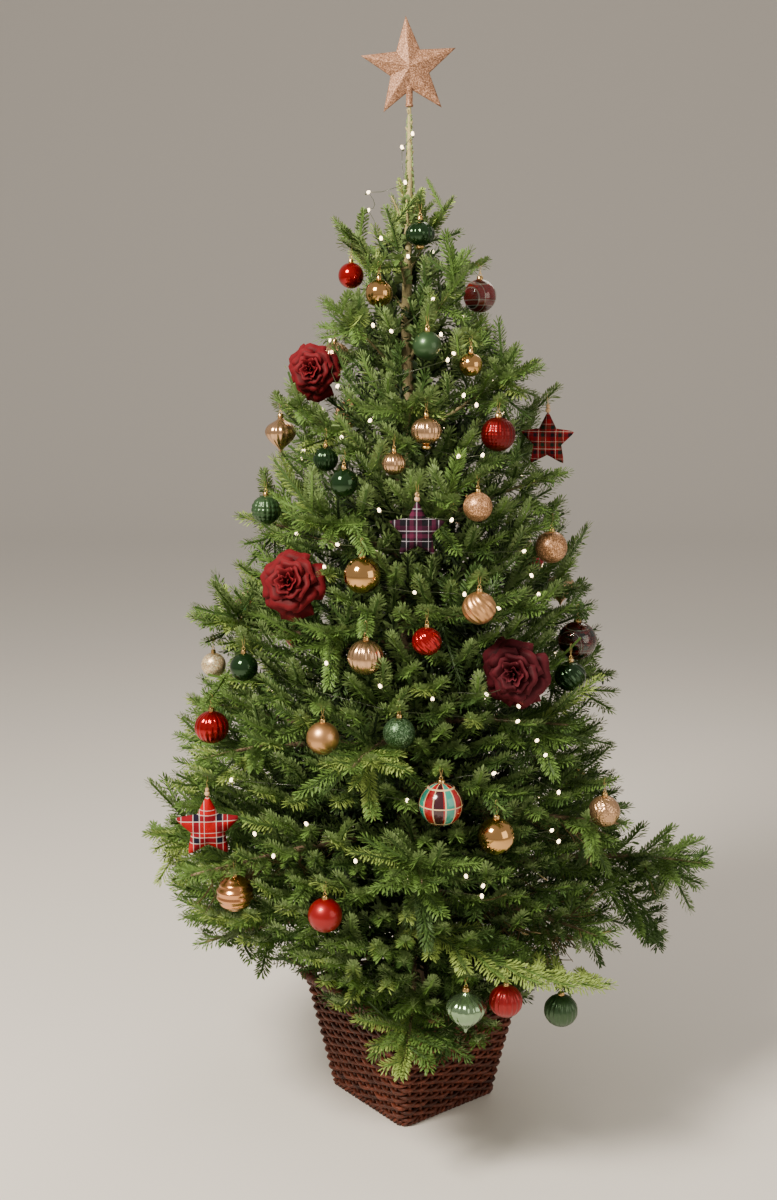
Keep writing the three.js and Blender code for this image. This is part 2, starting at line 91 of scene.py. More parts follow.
# The spiral of tiers: where each starts, its height, reach, skew to the right and rise.
SEAM = 90
SPIRAL = np.array([
    [365, 405, 0, -0.02],
    [515, 555, -15, 0.03],
    [695, 475, -34, 0.15],
    [885, 415, -16, 0.22],
    [1078, 360, 0, 0.32],
    [1268, 312, 12, 0.46],
    [1448, 222, 20, 0.72],
    [1615, 138, -18, 1.15],
    [1765, 74, 0, 1.8],
])
TIERS = [
    Sizes(azimuths=[140, 202, 274, 318, 354, 405], bare=150),
    Sizes(azimuths=[122, 178, 228, 272, 320, 392], bare=140),
    Sizes(azimuths=[112, 164, 208, 258, 312, 362, 420], bare=0),
    Sizes(azimuths=[130, 186, 240, 290, 346, 408], bare=0),
    Sizes(azimuths=[116, 170, 226, 284, 334, 392], bare=0),
    Sizes(azimuths=[136, 196, 266, 336, 406], bare=0),
    Sizes(azimuths=[126, 214, 304, 390], bare=0),
    Sizes(azimuths=[166, 252, 344, 430], bare=0),
]
ODD_BOUGHS = {(0, 2): {"reach": 425, "rise": -0.42}, (0, 4): {"reach": 610, "rise": 0.15, "roll": 24}}
CROWN = Sizes(top=1905, lowest=150, skirt_height=372, skirt_slope=-0.85, gap=4, reach_low=0.95,
              reach_spread=0.1, rise_jitter=0.05, swing=8, arch=0.04)
LIMB = Sizes(thickness=0.021, tip_share=0.16)
GROWTH = Sizes(per_spray=36, trials=150, first_share=0.14, last_share=0.82, turn_step=137.5, angle_near=74,
               angle_far=56, angle_jitter=8, roll_spread=90, length_share=0.36, length_base=170,
               length_spread=0.22, spacing=0.165)
FIT = Sizes(longest=250, shortest=58, trials=11, shrink=0.88)
SPRAY = Sizes(mark_shares=[0.35, 0.6, 0.8, 1], tip_length=200, tip_first_share=0.2, half_depth=0.05,
              ridge_at=0.4, large_from=212,
              small=[((0.62, 0.42), (0.6, 0.17))],
              large=[((0.5, 0.41), (0.48, 0.22)), ((0.77, 0.32), (0.74, 0.14))])

# The crown's outline: at each height, how far the foliage reaches to the left and to the right of the trunk.
OUTLINE = np.array([
    [150, 300, 350], [250, 330, 380], [348, 370, 405], [437, 460, 425], [525, 515, 455], [612, 500, 450],
    [720, 490, 435], [805, 480, 405], [869, 455, 390], [973, 405, 385], [1077, 370, 380],
    [1158, 345, 335], [1240, 305, 315], [1330, 290, 305], [1419, 250, 280], [1518, 205, 235],
    [1595, 165, 180], [1673, 135, 150], [1787, 100, 70], [1860, 55, 50], [1905, 20, 20],
])
# Its underside: the lowest foliage near the basket's rim and at the crown's reach, by azimuth.
UNDERSIDE = np.array([
    [90, 345, 370], [150, 345, 370], [178, 306, 395], [215, 318, 442], [242, 282, 452], [257, 262, 310],
    [270, 262, 225], [285, 262, 235], [299, 262, 320], [312, 268, 395], [335, 280, 395], [355, 285, 385],
    [385, 345, 370], [450, 345, 370],
])

# The first of these heights holds at this share of the reach, and a spray may hang this much lower.
NEAR_RIM = 0.6
DROOP = 45

# Finer growth: shoots that leave the nearest limb for every place in the crown that is still empty.
FILL = Sizes(seed=41, trials=90000, first_share=0.08, nearest=45, farthest=175, extra_rise=0.25,
             corner=(-760, -760, 60), cell=10, cells=(152, 152, 200), room=40, inner_room=31,
             inner_share=0.62, low=690, high=1560, high_nearest=28, straight=1.2, disorder=0.25, limb_step=15,
             fork_from=75, fork_at=0.32, fork_angle=52, fork_roll=50, fork_length=0.58, fork_reach=1.02)

# How needles stand on a shoot: where they begin, how far they close in on its top, where its end begins,
# how they lean below, on top and at the end, how long they are there, and how they are deep in the crown.
NEEDLE = Sizes(first_share=0.04, wrap=0.8, end_from=0.82, lean_below=64, lean_top=42, lean_end=22,
               unevenness=3.5, top_length=0.78, end_length=0.85, inner_from=0.62, inner_depth=0.25,
               inner_width=3.2, inner_length=1.2, foot=0.8, broadest_at=0.74, keel=0.4, steep=0.35,
               turn_jitter=0.6, twist=0.22, lengths=(0.92, 1.04), foot_length=0.75, foot_growth=2.5)

# The outer part of each bough is a flat spray, with shoots on alternate sides.
FEATHER = Sizes(first_share=0.55, step=27, angle=52, lift=0.12, taper=0.85, shortest=40, longest=100)
SHOOT_BEND = 0.05

# The low limbs that stand out at the front right and droop at the right, by their start, middle and end, and
# how far their sprays are turned about them.
LOW_LIMBS = [
    ([(10, -330, 515), (165, -418, 478), (362, -285, 386)], 0),
    ([(370, -75, 530), (462, -85, 475), (518, -80, 380)], 30),
]

# Painted shade on the shoots towards the right: how much darker their green is dealt, by their place across,
# and its share by height.
PAINTED_SHADE = [(-100, 150, 300), (0, 0.16, 0.12)]
PAINTED_SHADE_SHARE = [(500, 1100), (1, 0.5)]

# How much paler shoots are dealt towards the top, by height, and the young shoots of the first low limb.
PALER_TOP = [(1780, 1880), (0, 0.5)]
PALER_YOUNG = 0.3

# The paleness between one green and the next, and how far it is dealt at random: needles, then their bases.
DEALT = Sizes(needles=[0.58, 0.82, 1.0], needle_spread=0.13, bases=[0.62, 0.95], base_spread=0.1)

# Radii of twigs: at the foot by order and length, at the tip, and both of bare twigs and needle bases.
TWIG = Sizes(foot_radii=[2.6, 1.9, 1.5], usual_length=150, least=0.75, most=1.3, tip_radius=1.1,
             bare_radii=(1.7, 0.8), base_radii=(3.0, 2.6))

# What is added to a place's share of the crown's reach outside it, and the most that counts inside.
OUTSIDE = 9
FARTHEST_OUT = 0.96

# Where shoots have dropped their needles: from and to which azimuth and height, and what share of them.
BARE_PATCHES = [(290, 340, 395, 620, 0.5), (214, 240, 345, 460, 0.35)]

# Bare twigs that hang from the lowest boughs there.
BARE = Sizes(count=400, first_share=0.35, last_share=0.92, shortest=55, longest=120, droop=0.9,
             spread=0.6, side_share=0.55, lowest=70)

# The boughs carry needles themselves, in so many straight parts each.
NEEDLED_PARTS = 5

# The shoots of a spray, as shares of its length: where each starts and ends, and its order from the stem.
# A spray shorter than the fork's length is one shoot.
FORK_FROM = 92
SMALL_SHOOTS = [((0, 0), (1, 0), 0), ((0.2, 0), (0.62, 0.42), 1)]
LARGE_SHOOTS = [((0, 0), (1, 0), 0), ((0.12, 0), (0.5, 0.41), 1), ((0.46, 0), (0.77, 0.32), 1)]

# The basket's courses of rods round its upright stakes, its plaited border and the twisted rods of its foot.
WEAVE = Sizes(stakes=36, courses=24, lowest=15, pitch=9.5, rod_radius=4.1, wave=4.4, lining=17, strands=4,
              border_twists=34, strand_radius=5.0, strand_offset=5.6, foot_radius=3.5, foot_twists=40,
              stake_heights=(7, 244), sway=0.45, unevenness=0.05)

# The rods of the basket's floor, those near its corners shorter, and the runners that cross them.
FLOOR = Sizes(pitch=9.2, height=8.5, radius=4.2, near_corner=18, shorter=10, runners=5, runner_span=0.7,
              runner_height=15.5, runner_radius=4.6)

# The soil's lumps by size and height, and its crumbs by number to a square metre and radius.
LUMPS = Sizes(above_floor=9, size=34, height=5, crumbs=9000, crumb_radius=4.2)

# A silk rose's petals from the innermost to the outermost, most of it as shares of the rose's radius.
ROSE = Sizes(petals=24, cells=8, openings=(6, 78), lengths=(0.5, 0.98), unevenness=0.06,
             widths=(1.3, 0.74), foot=0.03, sink=0.2, cup=0.05, ripple=0.045, lip=0.12)

# What hangs where it is seen in the photograph, in millimetres from the basket's middle: name, kind, finish,
# place of its middle, and diameter.
HUNG = [
    ("green_lantern", "lantern", "green_gloss", (8, -97, 1794), 54),
    ("red_ball_1", "ball", "red_gloss", (-125, -38, 1719), 50),
    ("gold_ball_1", "ball", "gold_gloss", (-70, -112, 1683), 52),
    ("clear_ball_1", "clear", "bright_tartan", (126, -42, 1680), 64),
    ("green_ball_1", "ball", "green_satin", (20, -194, 1585), 54),
    ("gold_ball_2", "ball", "gold_gloss", (102, -184, 1550), 44),
    ("gold_onion", "onion", "champagne", (-265, -46, 1416), 60),
    ("gold_drop", "drop", "champagne", (17, -270, 1432), 54),
    ("red_sequin_ball", "sequin", "red_sequin", (152, -223, 1423), 64),
    ("gold_ribbed_1", "ribbed", "champagne", (-42, -280, 1373), 42),
    ("green_ribbed_1", "ribbed", "green_gloss", (-170, -200, 1375), 46),
    ("green_ball_2", "ball", "green_gloss", (-134, -270, 1337), 52),
    ("green_quilted", "quilted", "green_satin", (-296, -48, 1262), 58),
    ("gold_glitter_1", "ball", "champagne_glitter", (112, -282, 1294), 54),
    ("gold_glitter_2", "ball", "champagne_glitter", (262, -156, 1202), 62),
    ("gold_ball_3", "ball", "gold_gloss", (-100, -327, 1174), 68),
    ("gold_swirl", "swirl", "gold_satin", (110, -386, 1124), 59),
    ("red_ball_2", "swirl", "red_gloss", (17, -379, 1062), 52),
    ("gold_ribbed_2", "ribbed", "champagne", (-93, -376, 1032), 64),
    ("cream_glitter", "ball", "cream_glitter", (-408, -38, 944), 50),
    ("green_ball_3", "ball", "green_gloss", (-328, -227, 981), 54),
    ("clear_ball_2", "clear", "red_tartan", (318, -140, 1015), 76),
    ("green_swirl", "swirl", "green_gloss", (296, -222, 962), 58),
    ("red_ribbed_1", "ribbed", "red_gloss", (-393, -215, 860), 64),
    ("gold_ball_4", "ball", "gold_satin", (-171, -393, 886), 60),
    ("green_glitter", "ball", "green_glitter", (-33, -402, 898), 58),
    ("tartan_ball", "panes", "window_tartan", (42, -437, 776), 80),
    ("gold_ball_5", "ball", "gold_gloss", (143, -420, 710), 68),
    ("gold_hammered", "hammered", "champagne", (358, -286, 714), 60),
    ("gold_banded", "banded", "copper_gold", (-338, -366, 581), 68),
    ("red_ball_3", "ball", "red_satin", (-166, -467, 578), 62),
    ("silver_onion", "onion", "sea_green", (89, -455, 394), 70),
    ("red_ribbed_2", "ribbed", "red_satin", (163, -441, 402), 60),
    ("green_ribbed_2", "ribbed", "green_satin", (275, -354, 343), 62),
    ("red_tartan_star", "star", "red_tartan", (261, -60, 1401), 116),
    ("plum_tartan_star", "star", "plum_tartan", (0, -318, 1255), 112),
    ("bright_tartan_star", "star", "bright_tartan", (-397, -275, 678), 136),
    ("rose_1", "rose", "red_silk", (-200, -50, 1537), 104),
    ("rose_2", "rose", "red_silk", (-234, -262, 1149), 122),
    ("rose_3", "rose", "wine_silk", (182, -330, 993), 124),
]

# What hangs round the back goes by this rule: the kinds in turn, down a spiral of golden turns.
BACK = Sizes(count=26, highest=1640, lowest=430, first_azimuth=14, span=152, share=0.92, apart=95, kinds=[
    ("ball", "red_gloss", 62), ("ribbed", "champagne", 60), ("ball", "green_gloss", 56),
    ("ball", "champagne_glitter", 60), ("rose", "red_silk", 116), ("swirl", "gold_satin", 60),
    ("star", "bright_tartan", 120), ("ball", "gold_gloss", 66), ("quilted", "green_satin", 58),
    ("ribbed", "red_satin", 60), ("onion", "champagne", 60), ("panes", "window_tartan", 76),
    ("hammered", "champagne", 60),
])
HANGING = Sizes(cap_height=8, ring_radius=3, thread=17, past=30, sight=170, sight_share=0.8, room=7,
                nearest=35, farthest=230, rose_depth=0.3, lift=0.15, straight=1.6, tried=300,
                shoot_room=(5, 0.5), needle_room=(1.5, 0.9), cap_foot=0.96, loop_radius=3.4,
                ring_wire=0.7, thread_wire=0.45, stem_radius=1.6)

# The lights that show in the photograph, in millimetres from the basket's middle, and the wire's run.
LIT = [
    (-6, -46, 1984), (-26, -38, 1960), (-20, -55, 1893), (-91, -41, 1876), (-91, -35, 1843), (-66, -98, 1786),
    (-15, -124, 1751), (31, -158, 1671), (-81, -163, 1623), (-47, -181, 1612), (46, -178, 1606),
    (-168, -38, 1595), (70, -188, 1571), (58, -202, 1559), (-148, -178, 1510), (87, -230, 1495),
    (111, -225, 1477), (-86, -250, 1450), (-139, -235, 1418), (-213, -179, 1390), (76, -277, 1386),
    (121, -261, 1387), (-69, -310, 1291), (63, -309, 1273), (-225, -226, 1238), (-146, -293, 1226),
    (201, -248, 1207), (-170, -300, 1185), (216, -247, 1161), (-5, -355, 1147), (86, -340, 1141),
    (229, -257, 1127), (149, -329, 1113), (-165, -362, 1018), (-67, -396, 983), (126, -375, 963),
    (27, -404, 961), (187, -344, 933), (185, -353, 907), (223, -332, 865), (240, -325, 835), (139, -400, 822),
    (-345, -329, 788), (266, -325, 763), (-19, -451, 787), (-200, -435, 738), (250, -364, 702),
    (-298, -384, 702), (264, -356, 678), (-262, -411, 669), (-111, -466, 679), (-17, -475, 650),
    (87, -459, 648), (118, -454, 628), (116, -457, 610),
]
WIRE = Sizes(highest=1790, lowest=560, band=105, back_share=0.95, back_gap=185, back_azimuths=(20, 160),
             sink=0.84, sinks_from=60, sag=6, radius=0.6, lens_radius=3.1, lens_length=9)

# The photograph's camera in the basket's frame, and the image's height in pixels.
CAMERA = Sizes(place=(-0.052, -3.030, 1.600), pitch=9.9, focal_pixels=1503, height=1200)


def linear(code):
    """The linear colour of an sRGB hex value."""
    channels = [int(code[i:i + 2], 16) / 255 for i in (0, 2, 4)]
    return tuple(c / 12.92 if c <= 0.04045 else ((c + 0.055) / 1.055) ** 2.4 for c in channels)


def mix(low, high, share):
    return low + (high - low) * share


def unit(vectors):
    return vectors / np.linalg.norm(vectors, axis=-1, keepdims=True)


class Draws:
    """A repeatable stream of numbers from 0 to 1, the same as the one the solids grew by."""

    def __init__(self, seed):
        self.state = (seed + 1) * 2654435761 % 2**32
        for _ in range(3):
            self.next()

    def next(self):
        self.state = (self.state * 1664525 + 1013904223) % 2**32
        return self.state / 2**32

    def spread(self, span):
        return (2 * self.next() - 1) * span


# The rule of growth, in millimetres from the trunk's foot on the basket's floor plane.

def basket_side(z):
    return mix(BASKET.base_side, BASKET.rim_side, z / BASKET.height)


SOIL_TOP = BASKET.height - SOIL.edge_below_rim + SOIL.mound_rise
TRUNK_FOOT = SOIL_TOP + CLEARANCE


def trunk_axis(z):
    """The trunk's middle line, which sways a little between its foot and its top."""
    z = np.asarray(z, float)
    run = 2 * np.pi * (z - TRUNK_FOOT) / TRUNK.sway_length
    sway = TRUNK.sway * np.sin(np.pi * (z - TRUNK_FOOT) / (TRUNK.top - TRUNK_FOOT))
    return np.stack([sway * np.sin(run), sway * np.cos(run), z], axis=-1)


def trunk_radius(z):
    z = np.asarray(z, float)
    left = np.clip((TRUNK.leader_tip - z) / (TRUNK.leader_tip - TRUNK_FOOT), 0, None)
    below = mix(TRUNK.leader_radius, TRUNK.foot_radius, left ** TRUNK.taper_power)
    run = (z - TRUNK.leader_tip) / (TRUNK.top - TRUNK.leader_tip)
    return np.where(z > TRUNK.leader_tip, mix(TRUNK.leader_radius, TRUNK.top_radius, run), below)


def spiral_at(turns):
    """Height, reach, skew and rise at a tier and a part of one."""
    turns = np.asarray(turns, float)
    index = np.clip(np.floor(turns), 0, len(SPIRAL) - 2).astype(int)
    return mix(SPIRAL[index], SPIRAL[index + 1], (turns - index)[..., None])


def turns_at(tier, azimuth):
    return tier + (azimuth - SEAM) / 360


def plan_bough(tier, index):
    """One bough: the spiral's values where it stands, varied by its own stream of numbers."""
    degrees = TIERS[tier].azimuths[index]
    draws = Draws(tier * 31 + index)
    height, reach, skew, rise = spiral_at(turns_at(tier, degrees))
    azimuth = math.radians(degrees)
    reach = (reach + skew * math.cos(azimuth)) * (CROWN.reach_low + CROWN.reach_spread * draws.next())
    rise = rise + draws.spread(CROWN.rise_jitter)
    swing = math.radians(draws.spread(CROWN.swing))
    bough = Sizes(tier=tier, draws=draws, azimuth=azimuth, reach=reach, rise=rise, swing=swing,
                  foot=trunk_axis(height), bare=TIERS[tier].bare, roll=0)
    vars(bough).update(ODD_BOUGHS.get((tier, index), {}))
    return bough


def bough_point(bough, distance):
    """Points of the bough's middle line at distances from the trunk's axis."""
    distance = np.asarray(distance, float)
    share = distance / bough.reach
    turn = bough.azimuth + bough.swing * share**2
    arch = 4 * CROWN.arch * bough.reach * share * (1 - share)
    point = [np.cos(turn) * distance, np.sin(turn) * distance, bough.rise * distance + arch]
    return np.stack(point, axis=-1) + bough.foot


def bough_direction(bough, distance):
    step = 2
    return unit(bough_point(bough, distance + step) - bough_point(bough, distance - step))


def limb_radius(bough, distance):
    return LIMB.thickness * bough.reach * mix(1, LIMB.tip_share, distance / bough.reach)


def azimuth_of(points):
    """The azimuth of each point round the trunk, in degrees from the spiral's seam on."""
    return SEAM + (np.degrees(np.arctan2(points[:, 1], points[:, 0])) - SEAM) % 360


def ceiling_of(tier, azimuth, distance):
    """The surface that parts the foliage of a tier from that of the next one up."""
    if tier < 0:
        return np.maximum(CROWN.lowest, CROWN.skirt_height + CROWN.skirt_slope * distance)
    if tier == len(TIERS) - 1:
        return np.full_like(distance, CROWN.top)
    half_turn = 0.5
    height, _, _, rise = np.moveaxis(spiral_at(turns_at(tier, azimuth) + half_turn), -1, 0)
    return height + rise * distance


def inside_basket(points):
    """Whether points lie in the basket or close to it."""
    flat = points[:, :2] + STAND[:2]
    turn = math.radians(BASKET.turn)
    turned = np.stack([flat[:, 0] * math.cos(turn) + flat[:, 1] * math.sin(turn),
                       flat[:, 1] * math.cos(turn) - flat[:, 0] * math.sin(turn)], axis=-1)
    half = basket_side(np.maximum(points[:, 2], 0)) / 2 + BASKET.border_relief + BASKET.clear
    low = points[:, 2] <= BASKET.height + BASKET.clear
    return low & (np.abs(turned) < half[:, None]).all(axis=1)


def in_own_space(bough, borders, points):
    """Whether points all lie between the tiers and slices around, clear of trunk and basket."""
    distance = np.hypot(points[:, 0], points[:, 1])
    azimuth = azimuth_of(points)
    low = ceiling_of(bough.tier - 1, azimuth, distance) + CROWN.gap
    high = ceiling_of(bough.tier, azimuth, distance) - CROWN.gap
    from_trunk = np.hypot(*(points - trunk_axis(points[:, 2]))[:, :2].T)
    inside = (points[:, 2] >= low) & (points[:, 2] <= high) & (distance <= bough.reach)
    inside &= (from_trunk >= trunk_radius(points[:, 2]) + CROWN.gap) & ~inside_basket(points)
    return bool(inside.all() and (points[:, :2] @ borders.T > CROWN.gap).all())


def borders_of(boughs, index):
    """The normals of the two upright planes that part a bough's slice from its neighbours'."""
    own = boughs[index].azimuth
    low, high = math.radians(SEAM), math.radians(SEAM + 360)
    if index > 0:
        low = (own + boughs[index - 1].azimuth) / 2
    if index + 1 < len(boughs):
        high = (own + boughs[index + 1].azimuth) / 2
    return np.array([[-math.sin(low), math.cos(low)], [math.sin(high), -math.cos(high)]])


def spray_frame(direction, roll):
    """A spray's own directions: along its middle shoot, across its plane, and square to it."""
    across = unit(np.cross(UP, direction))
    over = np.cross(direction, across)
    turned = across * math.cos(roll) + over * math.sin(roll)
    return np.array([direction, turned, np.cross(direction, turned)])


def teeth_of(length):
    return SPRAY.large if length > SPRAY.large_from else SPRAY.small


def spray_points(spray):
    """The corners that a spray spans, without its root: its outline, then the ridge on both faces."""
    side = [corner for tooth in teeth_of(spray.length) for corner in tooth]
    flat = [(x, -y, 0) for x, y in side] + [(1, 0, 0)] + [(x, y, 0) for x, y in reversed(side)]
    flat += [(SPRAY.ridge_at, 0, SPRAY.half_depth), (SPRAY.ridge_at, 0, -SPRAY.half_depth)]
    return spray.root + np.array(flat) @ spray.frame * spray.length


def spray_marks(spray):
    """The points of a spray, beyond its root, that other sprays keep away from."""
    points = spray_points(spray)
    middle = spray.root + np.outer(SPRAY.mark_shares, spray.frame[0]) * spray.length
    tips = [tip for i in range(len(teeth_of(spray.length))) for tip in (points[2 * i], points[-3 - 2 * i])]
    between = [(tip + middle[0 if i < 2 else 1]) / 2 for i, tip in enumerate(tips)]
    return np.array([*middle, *tips, *between])


def fit_spray(bough, borders, root, own_frame, wanted):
    """The longest spray that fits from this root, or None."""
    length = min(wanted, FIT.longest)
    for _ in range(FIT.trials):
        if length < FIT.shortest:
            break
        spray = Sizes(root=root, frame=own_frame, length=length)
        if in_own_space(bough, borders, spray_points(spray)):
            return spray
        length *= FIT.shrink
    return None


def foliage_start(bough):
    return bough.bare or float(trunk_radius(bough.foot[2]))


def tip_start(bough):
    run = SPRAY.tip_length / math.hypot(1, bough.rise)
    return max(bough.reach - run, mix(foliage_start(bough), bough.reach, SPRAY.tip_first_share))


def plan_sprays(bough, borders):
    """The sprays of one mass, as its solid has them."""
    start = foliage_start(bough)
    span = bough.reach - start
    tip_root = bough_point(bough, tip_start(bough))
    towards = bough_point(bough, bough.reach) - tip_root
    draws = bough.draws
    own_frame = spray_frame(unit(towards), math.radians(draws.spread(GROWTH.roll_spread)))
    sprays = [Sizes(root=tip_root, frame=own_frame, length=float(np.linalg.norm(towards)))]
    taken = spray_marks(sprays[0])
    wanted_count = 1 + round(span / GROWTH.per_spray)
    for trial in range(GROWTH.trials):
        if len(sprays) >= wanted_count:
            break
        share = mix(GROWTH.first_share, GROWTH.last_share, math.sqrt(draws.next()))
        distance = start + share * span
        angle = mix(GROWTH.angle_near, GROWTH.angle_far, share) + draws.spread(GROWTH.angle_jitter)
        turn = math.radians(GROWTH.turn_step * trial)
        roll = math.radians(draws.spread(GROWTH.roll_spread))
        wanted = GROWTH.length_base + GROWTH.length_share * (1 - share) * span
        out = math.sin(math.radians(angle))
        parts = [math.cos(math.radians(angle)), out * math.cos(turn), out * math.sin(turn)]
        direction = unit(parts @ spray_frame(bough_direction(bough, distance), 0))
        longest = wanted * (1 - GROWTH.length_spread * draws.next())
        root = bough_point(bough, distance)
        spray = fit_spray(bough, borders, root, spray_frame(direction, roll), longest)
        if spray is None:
            continue
        marks = spray_marks(spray)
        if np.linalg.norm(marks[:, None] - taken, axis=-1).min() > GROWTH.spacing * spray.length:
            sprays.append(spray)
            taken = np.concatenate([taken, marks])
    return sprays


def spray_shoots(spray):
    """A spray's shoots, each from its root to its tip, with its order from the stem."""
    pattern = LARGE_SHOOTS if spray.length > SPRAY.large_from else SMALL_SHOOTS
    shoots = []
    for start, end, order in pattern if spray.length > FORK_FROM else pattern[:1]:
        for side in (1, -1) if end[1] else (1,):
            flat = np.array([[start[0], side * start[1], 0], [end[0], side * end[1], 0]])
            root, tip = spray.root + flat @ spray.frame * spray.length
            shoots.append((root, tip, order))
    return shoots


def crown_reach(points):
    """How far from the trunk the crown reaches in the direction and at the height of each point."""
    right = (1 + np.cos(np.arctan2(points[:, 1], points[:, 0]))) / 2
    left_reach, right_reach = (np.interp(points[:, 2], OUTLINE[:, 0], OUTLINE[:, i]) for i in (1, 2))
    return mix(left_reach, right_reach, right)


def underside(points):
    """The height of the crown's underside above or below each point."""
    azimuth = azimuth_of(points)
    near, edge = (np.interp(azimuth, UNDERSIDE[:, 0], UNDERSIDE[:, i]) for i in (1, 2))
    share = np.hypot(points[:, 0], points[:, 1]) / OUTLINE[2:4, 1:].mean()
    low = np.where(share < NEAR_RIM, mix(CROWN.skirt_height, near, share / NEAR_RIM),
                   mix(near, edge, (share - NEAR_RIM) / (1 - NEAR_RIM)))
    return np.maximum(low, CROWN.lowest)


def bare_share(points):
    """The share of shoots without needles round each point."""
    azimuth, share = azimuth_of(points), np.zeros(len(points))
    for first, last, low, high, own in BARE_PATCHES:
        share[(azimuth > first) & (azimuth < last) & (points[:, 2] > low) & (points[:, 2] < high)] = own
    return share


def crown_share(points):
    """How far out each point lies, from 0 at the trunk to 1 at the crown's outline, and more outside."""
    distance = np.hypot(points[:, 0], points[:, 1])
    outside = (points[:, 2] < underside(points)) | (points[:, 2] > CROWN.top)
    return distance / crown_reach(points) + OUTSIDE * (outside | inside_basket(points))


def reach_at(azimuth, z, share):
    """The place at a share of the crown's reach, in millimetres from the basket's middle."""
    turn = math.radians(azimuth)
    flat = np.array([math.cos(turn), math.sin(turn), 0.0])
    return flat * share * crown_reach(np.array([[flat[0], flat[1], z]]))[0] + [0, 0, z] + STAND


@functools.lru_cache(maxsize=None)
def decorations():
    """All that hangs on the tree: those seen in the photograph, then those round the back."""
    eye = np.array(CAMERA.place) / MM
    hung = []
    for name, kind, finish, place, diameter in HUNG:
        place = np.array(place, float)
        hung.append(Sizes(name=name, kind=kind, finish=finish, place=place, radius=diameter / 2,
                          sight=unit(eye - place)))
    for number in range(BACK.count):
        kind, finish, diameter = BACK.kinds[number % len(BACK.kinds)]
        z = mix(BACK.highest, BACK.lowest, (number / (BACK.count - 1)) ** 0.85)
        azimuth = BACK.first_azimuth + GROWTH.turn_step * number % BACK.span
        place = reach_at(azimuth, z, BACK.share)
        if min(np.linalg.norm(place - other.place) for other in hung) > BACK.apart:
            hung.append(Sizes(name=f"back_{kind}_{number + 1}", kind=kind, finish=finish, place=place,
                              radius=diameter / 2, sight=unit((place - STAND) * [1, 1, 0.1])))
    return hung


def hook_of(piece):
    """Where the shoot that carries a hanging piece passes over it, from the trunk's foot."""
    rise = piece.radius + HANGING.cap_height + 2 * HANGING.ring_radius + HANGING.thread
    return piece.place - STAND + rise * UP


class Kept:
    """The room that growth keeps free, round and before each decoration and before the upper trunk."""

    def __init__(self, pieces):
        trunk = trunk_axis(np.arange(*SEEN_TRUNK.heights, SEEN_TRUNK.step))
        self.middles = np.concatenate([np.array([piece.place for piece in pieces]) - STAND, trunk])
        self.radii = np.array([piece.radius for piece in pieces] + [-math.inf] * len(trunk))
        self.widths = np.where(self.radii > 0, self.radii, SEEN_TRUNK.width)
        eye = np.array(CAMERA.place) / MM - STAND
        self.sights = np.concatenate([np.array([piece.sight for piece in pieces]), unit(eye - trunk)])

    def holds(self, points, room, sight_share):
        """Whether points lie in a decoration grown by the room, or before it as seen."""
        away = points[:, None] - self.middles
        before = np.clip((away * self.sights).sum(axis=-1), 0, HANGING.sight)
        beside = np.linalg.norm(away - before[..., None] * self.sights, axis=-1)
        near = np.linalg.norm(away, axis=-1) < self.radii + room
        return near | ((before > self.widths) & (beside < self.widths * sight_share))

    def blocks(self, root, tip):
        along = root + np.linspace(0.1, 1, 7)[:, None] * (tip - root)
        return bool(self.holds(along, HANGING.room, HANGING.sight_share).any())


class Room:
    """The cells of the crown's space, and which of them are close to a needled shoot."""

    def __init__(self):
        self.low = np.array(FILL.corner, float)
        self.taken = np.zeros(FILL.cells, bool)
        around = np.stack(np.meshgrid(*[np.arange(-5, 6)] * 3), axis=-1).reshape(-1, 3)
        self.balls = [around[(around**2).sum(axis=1) <= (room / FILL.cell) ** 2]
                      for room in (FILL.room, FILL.inner_room)]

    def cells(self, points):
        return ((points - self.low) / FILL.cell).astype(int)

    def is_free(self, points):
        return ~self.taken[tuple(self.cells(points).T)]

    def take(self, root, tip):
        along = root + np.linspace(0.3, 1, 6)[:, None] * (tip - root)
        inner = not FILL.low < tip[2] < FILL.high or crown_share(tip[None])[0] < FILL.inner_share
        ball = self.balls[int(inner)]
        self.taken[tuple((self.cells(along)[:, None] + ball).reshape(-1, 3).T)] = True


def carrying_shoots(limbs, pieces, kept):
    """For each piece the shoot that carries it, from the limb that reaches its hook best."""
    shoots = []
    for piece in pieces:
        hook, past = hook_of(piece), HANGING.past
        if piece.kind == "rose":
            hook, past = piece.place - STAND - piece.sight * piece.radius * HANGING.rose_depth, 0
        runs = hook - limbs
        lengths = np.linalg.norm(runs, axis=1)
        outward = unit(piece.sight * [1, 1, 0] + HANGING.lift * UP)
        cost = lengths * (HANGING.straight - runs @ outward / lengths)
        cost[(lengths < HANGING.nearest) | (lengths > HANGING.farthest)] = np.inf
        order = np.argsort(cost)[:HANGING.tried]
        along = limbs[order][:, None] + np.linspace(0, 0.9, 7)[:, None] * runs[order][:, None]
        blocked = kept.holds(along.reshape(-1, 3), *HANGING.shoot_room).reshape(len(order), -1).any(axis=1)
        best = order[int(np.argmin(blocked))]
        piece.shoot = (limbs[best], hook + runs[best] / lengths[best] * past, 1)
        shoots.append(piece.shoot)
    return shoots


def candle_runs():
    """The foot and the tip of each young shoot that stands up round the leader."""
    runs = []
    for foot, azimuth, length in zip(CANDLES.feet, CANDLES.azimuths, CANDLES.lengths):
        lean, azimuth = math.radians(CANDLES.lean), math.radians(azimuth)
        flat, rise = math.sin(lean), math.cos(lean)
        out = np.array([math.cos(azimuth) * flat, math.sin(azimuth) * flat, rise])
        runs.append((trunk_axis(foot), trunk_axis(foot) + length * out))
    return runs


